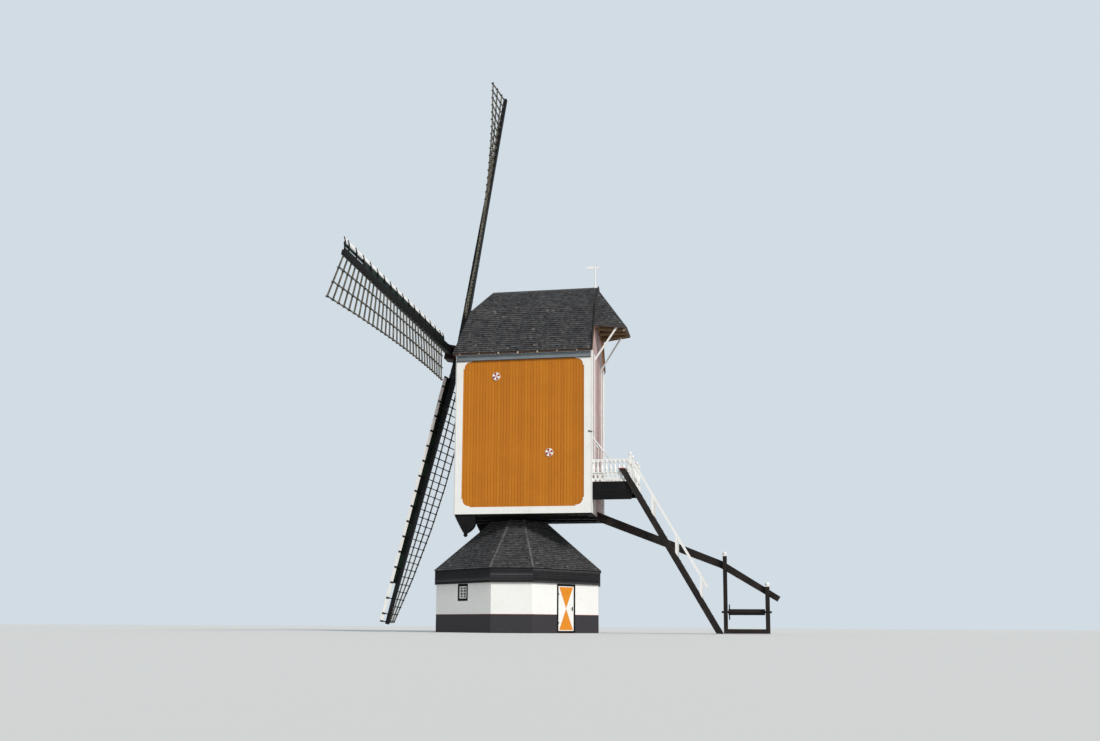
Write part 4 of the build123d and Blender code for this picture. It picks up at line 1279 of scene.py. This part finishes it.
@dataclass
class Balcony:
    """The rear balcony and the stair, with turned balusters and white rails."""

    body_rear: float = 3.54
    rear: float = 5.26
    top: float = 6.40
    half_width: float = 2.06
    rail_top: float = 7.37
    post_top: float = 7.52
    post_side: float = 0.11
    gap_post: float = 0.97
    apron_top: float = 6.78
    pitch: float = 0.185
    baluster_sides: int = 12
    hole_sides: int = 16
    bolts: int = 6
    bolt_pitch: float = 0.27
    bolt_height: float = 6.02
    # Both ends of the strings' red tips along the mill, and their height
    tip_run: tuple[float, float] = (4.735, 5.005)
    tip_height: float = 6.945
    # Height of the stay rod's inner end, and place along the mill and height of its outer end
    stay_top: float = 8.43
    stay_end: tuple[float, float] = (4.34, 7.35)
    # A baluster's radius, and its height as a share of the whole
    baluster: tuple = ((0.0, 0.0), (0.066, 0.0), (0.066, 0.07), (0.040, 0.09), (0.062, 0.20), (0.070, 0.30),
                       (0.060, 0.42), (0.034, 0.66), (0.028, 0.78), (0.048, 0.84), (0.066, 0.88), (0.070, 1.0),
                       (0.0, 1.0))

    def fretted_apron(self, piece: Piece, first: Vector, last: Vector) -> None:
        """Fix a pierced board under the balusters, with round holes and a toothed lower edge.

        Args:
            piece: The piece that takes it.
            first: One end, at the deck.
            last: The other end, at the deck.
        """
        run = last - first
        along = unit(run)
        out = along.cross(Z)
        count = max(1, round(run.length / self.pitch))
        step = run.length / count
        height = self.apron_top - self.top - 0.02
        for cell in range(count):
            centre = first + along * (cell + 0.5) * step + Z * (0.02 + height * 0.56)
            part = piece.start()
            rim, hole = [], []
            for index in range(self.hole_sides):
                angle = math.tau * index / self.hole_sides + math.pi / self.hole_sides
                x, z = math.cos(angle), math.sin(angle)
                reach = 1 / max(abs(x), abs(z))
                rim.append((x * reach * step / 2, z * reach * height * 0.44))
                hole.append((x * step * 0.30, z * height * 0.22))
            edges = []
            for points in (rim, hole):
                ring = [part.verts.new(centre + along * x + Z * z) for x, z in points]
                edges += [part.edges.new(pair) for pair in zip(ring, ring[1:] + ring[:1])]
            bmesh.ops.bridge_loops(part, edges=edges)
            bmesh.ops.solidify(part, geom=part.faces[:], thickness=0.03)
            bmesh.ops.recalc_face_normals(part, faces=part.faces[:])
            piece.take(part, centre, along, out, 0.0)
            foot = centre - Z * (height * 0.56 - 0.02)
            half = along * step * 0.26
            piece.timber(foot - half, foot + half, 0.03, 0.07, out, 0.004, tone=0.0)
        middle = Z * (self.apron_top - self.top)
        piece.timber(first + middle, last + middle, 0.08, 0.035, out, 0.005, tone=0.0)

    def build_balustrade(self) -> None:
        """Build posts, rails, balusters and apron."""
        piece = Piece("turned_balustrade")
        side_line = self.half_width - self.post_side / 2
        rear_line = self.rear - self.post_side / 2
        for x in (side_line, self.gap_post, -self.gap_post, -side_line):
            spot = (x, rear_line)
            piece.upright(spot, self.top, self.post_top, self.post_side, self.post_side, X, 0.012, tone=0.2)
            piece.upright(spot, self.post_top, self.post_top + 0.03, 0.14, 0.14, X, 0.008, tone=0.2)
            piece.ball((x, rear_line, self.post_top + 0.085), 0.068)
        height = self.rail_top - 0.07 - self.apron_top
        shape = [(radius, share * height) for radius, share in self.baluster]
        runs = (
            ((side_line, self.body_rear), (side_line, rear_line)),
            ((-side_line, rear_line), (-side_line, self.body_rear)),
            ((self.gap_post, rear_line), (-side_line, rear_line)),
        )
        for run in runs:
            first, last = [Vector((x, y, self.top)) for x, y in run]
            out = unit(last - first).cross(Z)
            rail = Z * (self.rail_top - self.top - 0.035)
            under = rail - Z * 0.045
            piece.timber(first + rail, last + rail, 0.10, 0.055, out, 0.012, tone=0.2)
            piece.timber(first + under, last + under, 0.07, 0.04, out, 0.006)
            self.fretted_apron(piece, first, last)
            count = round((last - first).length / self.pitch)
            for step in range(count):
                spot = first.lerp(last, (step + 0.5) / count)
                piece.turning((spot.x, spot.y, self.apron_top), shape, self.baluster_sides)
        piece.fit("mill_body", "white_paint", Paintshop.white, replaces=["balustrade"])

    def build_bolts(self) -> None:
        """Bolt the near girder, hang its stay rod and cap the strings' ends red."""
        bolts = Piece("balcony_bolts")
        for index in range(self.bolts):
            y = self.body_rear + 0.25 + index * self.bolt_pitch
            first, last = [(self.half_width + step, y, self.bolt_height) for step in (-0.01, 0.035)]
            bolts.rod(first, last, 0.032, 8)
        bolts.fit("mill_body", "iron", Paintshop.iron, lay=Lay.EVEN)
        tips = Piece("string_tips")
        for x in (self.half_width + 0.045, self.gap_post):
            first, last = [(x, y, self.tip_height) for y in self.tip_run]
            tips.timber(first, last, 0.098, 0.03, X, 0.004)
        tips.fit("mill_body", "tarred_boards", Paintshop.red)
        stays = Piece("balcony_stays")
        x = self.half_width - 0.06
        stays.rod((x, self.body_rear - 0.02, self.stay_top), (x, *self.stay_end), 0.03, 10)
        stays.fit("mill_body", "white_paint", Paintshop.white, lay=Lay.EVEN)

    def build(self, nodes: dict) -> None:
        """Dress the balcony and the stair.

        Args:
            nodes: The frame's nodes by name.
        """
        dress(nodes, Paintshop.tar, Lay.LEVEL_Y, "balcony_frame")
        dress(nodes, Paintshop.pole, Lay.EVEN, "stair_strings")
        dress(nodes, Paintshop.pole, Lay.LEVEL_X, "stair_treads")
        dress(nodes, Paintshop.white, Lay.EVEN, "stair_rails")
        self.build_balustrade()
        self.build_bolts()


@dataclass
class TailPole:
    """The tail pole and the winch that turns the mill."""

    post_side: float = 0.25
    # Place along the mill and top of the two pairs of posts
    posts: tuple = ((9.08, 3.33), (10.85, 2.02))
    ball_radius: float = 0.092

    def build(self, nodes: dict) -> None:
        """Dress the tail pole and winch.

        Args:
            nodes: The frame's nodes by name.
        """
        dress(nodes, Paintshop.pole, Lay.LEVEL_Y, "tail_pole", "winch_drum")
        dress(nodes, Paintshop.pole, Lay.UPRIGHT, "winch_frame")
        balls = Piece("winch_post_balls")
        for y, top in self.posts:
            for x in (-self.post_side, self.post_side):
                balls.upright((x, y), top - 0.02, top + 0.03, 0.20, 0.20, X, 0.01)
                balls.ball((x, y, top + 0.09), self.ball_radius)
        balls.fit("mill_body", "white_paint", Paintshop.white)


@dataclass
class Sails:
    """Four sails: stocks, windboards, lattices and the poll."""

    hub: Vector = field(default_factory=lambda: Vector((0, -3.085, 12.76)))
    tilt: float = math.radians(11.4)
    turn: float = 1.35
    lean: float = math.radians(2.45)
    radius: float = 12.76
    stock_places: tuple[float, float] = (-0.170, 0.160)
    poll: float = 0.68
    stock_size: tuple[float, float] = (0.33, 0.30)
    tip_size: tuple[float, float] = (0.19, 0.15)
    bands: tuple[float, ...] = (0.75, 1.05, 2.6, 4.4)
    first_bar: float = 1.70
    last_bar: float = 12.66
    bars: int = 32
    width: float = 1.63
    inner_twist: float = -0.384
    outer_twist: float = 0.260
    middle_twist: float = -0.327
    board_start: float = 1.25
    board_width: float = 0.59
    inner_lead: float = 0.245
    outer_lead: float = 0.180
    open_from: float = 10.7
    edge_slope: Vector = field(default_factory=lambda: Vector((0, 0.150, 0.084)))

    def __post_init__(self) -> None:
        """Work out the bars' spacing and each sail's frame, with its lean and without it."""
        self.pitch = (self.last_bar - self.first_bar) / (self.bars - 1)
        self.arms = [(self.arm(index, self.lean), self.arm(index, 0.0)) for index in range(4)]

    def arm(self, index: int, lean: float) -> Matrix:
        """Return the frame of one sail: X out along its stock, Y to its leading side, Z to the wind.

        Args:
            index: Its number from the top sail.
            lean: How far it leans forward.

        Returns:
            The frame as a matrix.
        """
        wind = Vector((0, -math.cos(self.tilt), math.sin(self.tilt)))
        angle = math.radians(90 + self.turn + 90 * index)
        out = X * math.cos(angle) + wind.cross(X) * math.sin(angle)
        forward = wind * math.cos(lean) - out * math.sin(lean)
        out = out * math.cos(lean) + wind * math.sin(lean)
        matrix = Matrix((out, forward.cross(out), forward)).transposed().to_4x4()
        matrix.translation = self.hub + wind * self.stock_places[index % 2]
        return matrix

    def twist(self, reach: float) -> float:
        """Work out the sail's twist.

        Args:
            reach: Distance from the poll.

        Returns:
            How far the trailing edge stands forward of the stock there.
        """
        share = (reach - self.first_bar) / (self.last_bar - self.first_bar)
        straight = self.inner_twist + share * (self.outer_twist - self.inner_twist)
        return straight + 4 * self.middle_twist * share * (1 - share)

    def edge(self, reach: float, share: float = 1.0) -> Vector:
        """Place a point of the windboards.

        Args:
            reach: Distance from the poll.
            share: Share of their width.

        Returns:
            The point in a sail's frame.
        """
        along = (reach - self.board_start) / (self.last_bar - self.board_start)
        lead = self.inner_lead + along * (self.outer_lead - self.inner_lead)
        return Vector((reach, self.board_width * share, lead * share))

    def build_stocks(self) -> None:
        """Shape the stocks, with iron bands near the poll."""
        piece = Piece("tapered_stocks")
        iron = Piece("stock_bands")
        for leaning, upright in self.arms:
            shoulder, tip = leaning @ (X * self.poll), leaning @ (X * self.radius)
            side = leaning.to_3x3() @ Y
            piece.timber(upright @ Vector(), shoulder, *self.stock_size, side)
            piece.timber(shoulder, tip, *self.stock_size, side, 0.012, end_size=self.tip_size)
            for reach in self.bands:
                share = (reach - self.poll) / (self.radius - self.poll)
                size = [one - share * (one - end) + 0.016 for one, end in zip(self.stock_size, self.tip_size)]
                iron.timber(leaning @ (X * reach), leaning @ (X * (reach + 0.07)), *size, side, 0.003)
        piece.fit("sails", "sail_wood", Paintshop.stock, replaces=["sail_stocks"])
        iron.fit("sails", "iron", Paintshop.iron, lay=Lay.EVEN)

    def planks(self, index: int, start: float) -> tuple:
        """Return the shares of the width that the planks of one field cover.

        Args:
            index: The sail's number from the top sail.
            start: Where the field starts.

        Returns:
            A pair for each plank. The bottom sail's tip is open, and the near sail's tip is gapped.
        """
        if index == 2 and start > self.open_from:
            return ()
        if index == 3 and start >= self.open_from:
            return ((0.13, 0.38), (0.46, 0.69))
        return ((0.13, 0.42), (0.43, 0.735))

    def build_windboards(self) -> None:
        """Fit the windboards in fields, with a white edge board and a clamp between fields."""
        piece = Piece("windboard_fields")
        white = Piece("windboard_edges")
        clamps = Piece("windboard_clamps")
        bars = [self.first_bar + bar * self.pitch for bar in range(0, self.bars, 2)]
        places = [self.board_start] + bars + [self.last_bar]
        for index, (frame, _) in enumerate(self.arms):
            turned = frame.to_3x3()
            for start, end in zip(places, places[1:]):
                for near, far in self.planks(index, start):
                    spots = ((start, near), (end, near), (end, far), (start, far))
                    corners = [frame @ self.edge(reach, share) for reach, share in spots]
                    normal = unit((corners[1] - corners[0]).cross(corners[3] - corners[0]))
                    piece.plate([corner - normal * 0.012 for corner in corners], normal * 0.024, 0.003)
            ends = [self.edge(reach) - self.edge_slope / 2 for reach in (self.board_start, self.radius - 0.06)]
            white.timber(frame @ ends[0], frame @ ends[1], self.edge_slope.length, 0.022,
                         turned @ self.edge_slope, 0.004, tone=0.6)
            for reach in places:
                first = Vector((reach, 0.06, 0.02))
                last = self.edge(reach) - Z * 0.022
                inner = last - self.edge_slope
                clamps.timber(frame @ first, frame @ inner, 0.045, 0.05, turned @ X, 0.006)
                clamps.timber(frame @ inner, frame @ last, 0.075, 0.03, turned @ X, 0.004)
        piece.fit("sails", "tarred_boards", Paintshop.board_green, replaces=["sail_windboards"])
        white.fit("sails", "white_paint", Paintshop.white)
        clamps.fit("sails", "tarred_boards", Paintshop.tar)

    def build_pegs(self) -> None:
        """Peg the long bars to each crossing bar."""
        piece = Piece("lattice_pegs")
        for frame, _ in self.arms:
            side = frame.to_3x3() @ X
            for bar in range(self.bars):
                reach = self.first_bar + bar * self.pitch
                twist = self.twist(reach)
                for share in (1 / 3, 2 / 3, 1):
                    middle = Vector((reach, -self.width * share, twist * share))
                    piece.timber(frame @ (middle - Z * 0.06), frame @ (middle + Z * 0.045), 0.05, 0.05, side)
        piece.fit("sails", "sail_wood", Paintshop.tar)

    def build(self, nodes: dict) -> None:
        """Dress the sails.

        Args:
            nodes: The frame's nodes by name.
        """
        dress(nodes, Paintshop.bars, Lay.EVEN, *[f"sail_lattice_{index}" for index in (1, 2, 3, 4)])
        dress(nodes, Paintshop.old_red, Lay.LEVEL_Y, "windshaft")
        self.build_stocks()
        self.build_windboards()
        self.build_pegs()


@dataclass
class Studio:
    """The camera of the photograph's view, a pale floor and soft light."""

    place: Vector = field(default_factory=lambda: Vector((46.55, 9.68, 0.30)))
    heading: float = math.radians(100.1)
    pitch: float = math.radians(8.05)
    roll: float = math.radians(0.32)
    focal_pixels: float = 1062.0
    sensor_mm: float = 36.0
    frame_width: float = 1100.0
    frame_height: float = 741.0
    centre_row: float = 475.75
    floor_radius: float = 220.0
    floor_colour: str = "#D9D9D6"
    sun_strength: float = 2.5
    sun_spread: float = math.radians(12)
    sun_colour: tuple[float, float, float] = (1.0, 0.97, 0.93)
    sun_from: tuple[float, float, float] = (0.57, 0.60, 0.60)
    sky_colour: str = "#DCE4EC"
    sky_strength: float = 0.62
    backdrop: str = "#D2DCE4"

    def place_camera(self) -> None:
        """Set the camera where the photographer stood."""
        data = bpy.data.cameras.new("camera")
        data.sensor_fit = "HORIZONTAL"
        data.sensor_width = self.sensor_mm
        data.lens = self.sensor_mm * self.focal_pixels / self.frame_width
        data.shift_y = (self.centre_row - self.frame_height / 2) / self.frame_width
        data.clip_end = 500.0
        level = Vector((-math.sin(self.heading), math.cos(self.heading), 0))
        ahead = level * math.cos(self.pitch) + Z * math.sin(self.pitch)
        right = unit(ahead.cross(Z))
        down = ahead.cross(right)
        across = right * math.cos(self.roll) - down * math.sin(self.roll)
        fall = right * math.sin(self.roll) + down * math.cos(self.roll)
        camera = link("camera", data)
        turn = Matrix((across, -fall, -ahead)).transposed().to_4x4()
        camera.matrix_world = Matrix.Translation(self.place) @ turn
        bpy.context.scene.camera = camera

    def lay_floor(self) -> None:
        """Lay a plain pale floor."""
        mesh = bmesh.new()
        bmesh.ops.create_circle(mesh, cap_ends=True, segments=96, radius=self.floor_radius)
        data = bpy.data.meshes.new("studio_floor")
        mesh.to_mesh(data)
        mesh.free()
        values = {"Base Color": linear(self.floor_colour), "Roughness": 0.9}
        data.materials.append(new_material("pale_floor", values, lambda tree: {}))
        link("studio_floor", data)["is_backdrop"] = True

    def hang_lights(self) -> None:
        """Light the mill softly from the right and from the sky."""
        key = bpy.data.lights.new("key", "SUN")
        key.energy = self.sun_strength
        key.angle = self.sun_spread
        key.color = self.sun_colour
        link("key", key).rotation_euler = Vector(self.sun_from).to_track_quat("Z", "Y").to_euler()
        world = bpy.data.worlds.new("studio_sky")
        world.use_nodes = True
        tree = world.node_tree
        tree.nodes.clear()
        rays = add_node(tree, "ShaderNodeLightPath").outputs
        soft, seen = [
            add_node(tree, "ShaderNodeBackground", {"Color": linear(colour), "Strength": strength}).outputs[0]
            for colour, strength in ((self.sky_colour, self.sky_strength), (self.backdrop, 1.0))
        ]
        direct = rays["Is Camera Ray"]
        for kind in ("Is Transmission Ray", "Is Glossy Ray"):
            direct = calculate(tree, "MAXIMUM", direct, rays[kind])
        mix = add_node(tree, "ShaderNodeMixShader", {0: direct, 1: soft, 2: seen})
        add_node(tree, "ShaderNodeOutputWorld", {0: mix.outputs[0]})
        bpy.context.scene.world = world

    def build(self) -> None:
        """Set up the studio."""
        bpy.context.scene.view_settings.view_transform = "Standard"
        self.place_camera()
        self.lay_floor()
        self.hang_lights()


def main() -> list:
    """Build every sub-assembly over the frame.

    Returns:
        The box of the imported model, as plain numbers.
    """
    logging.basicConfig(level=logging.INFO, format="%(name)s %(message)s")
    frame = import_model()
    packed = [[float(value) for value in corner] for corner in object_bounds()]
    nodes = frame["nodes"]
    Studio().build()
    for part in (BaseHouse(), Buck(), Balcony(), TailPole(), Sails()):
        part.build(nodes)
        LOG.info("%s built", type(part).__name__)
    return packed


if __name__ == "__main__":
    CAD_BOX = main()
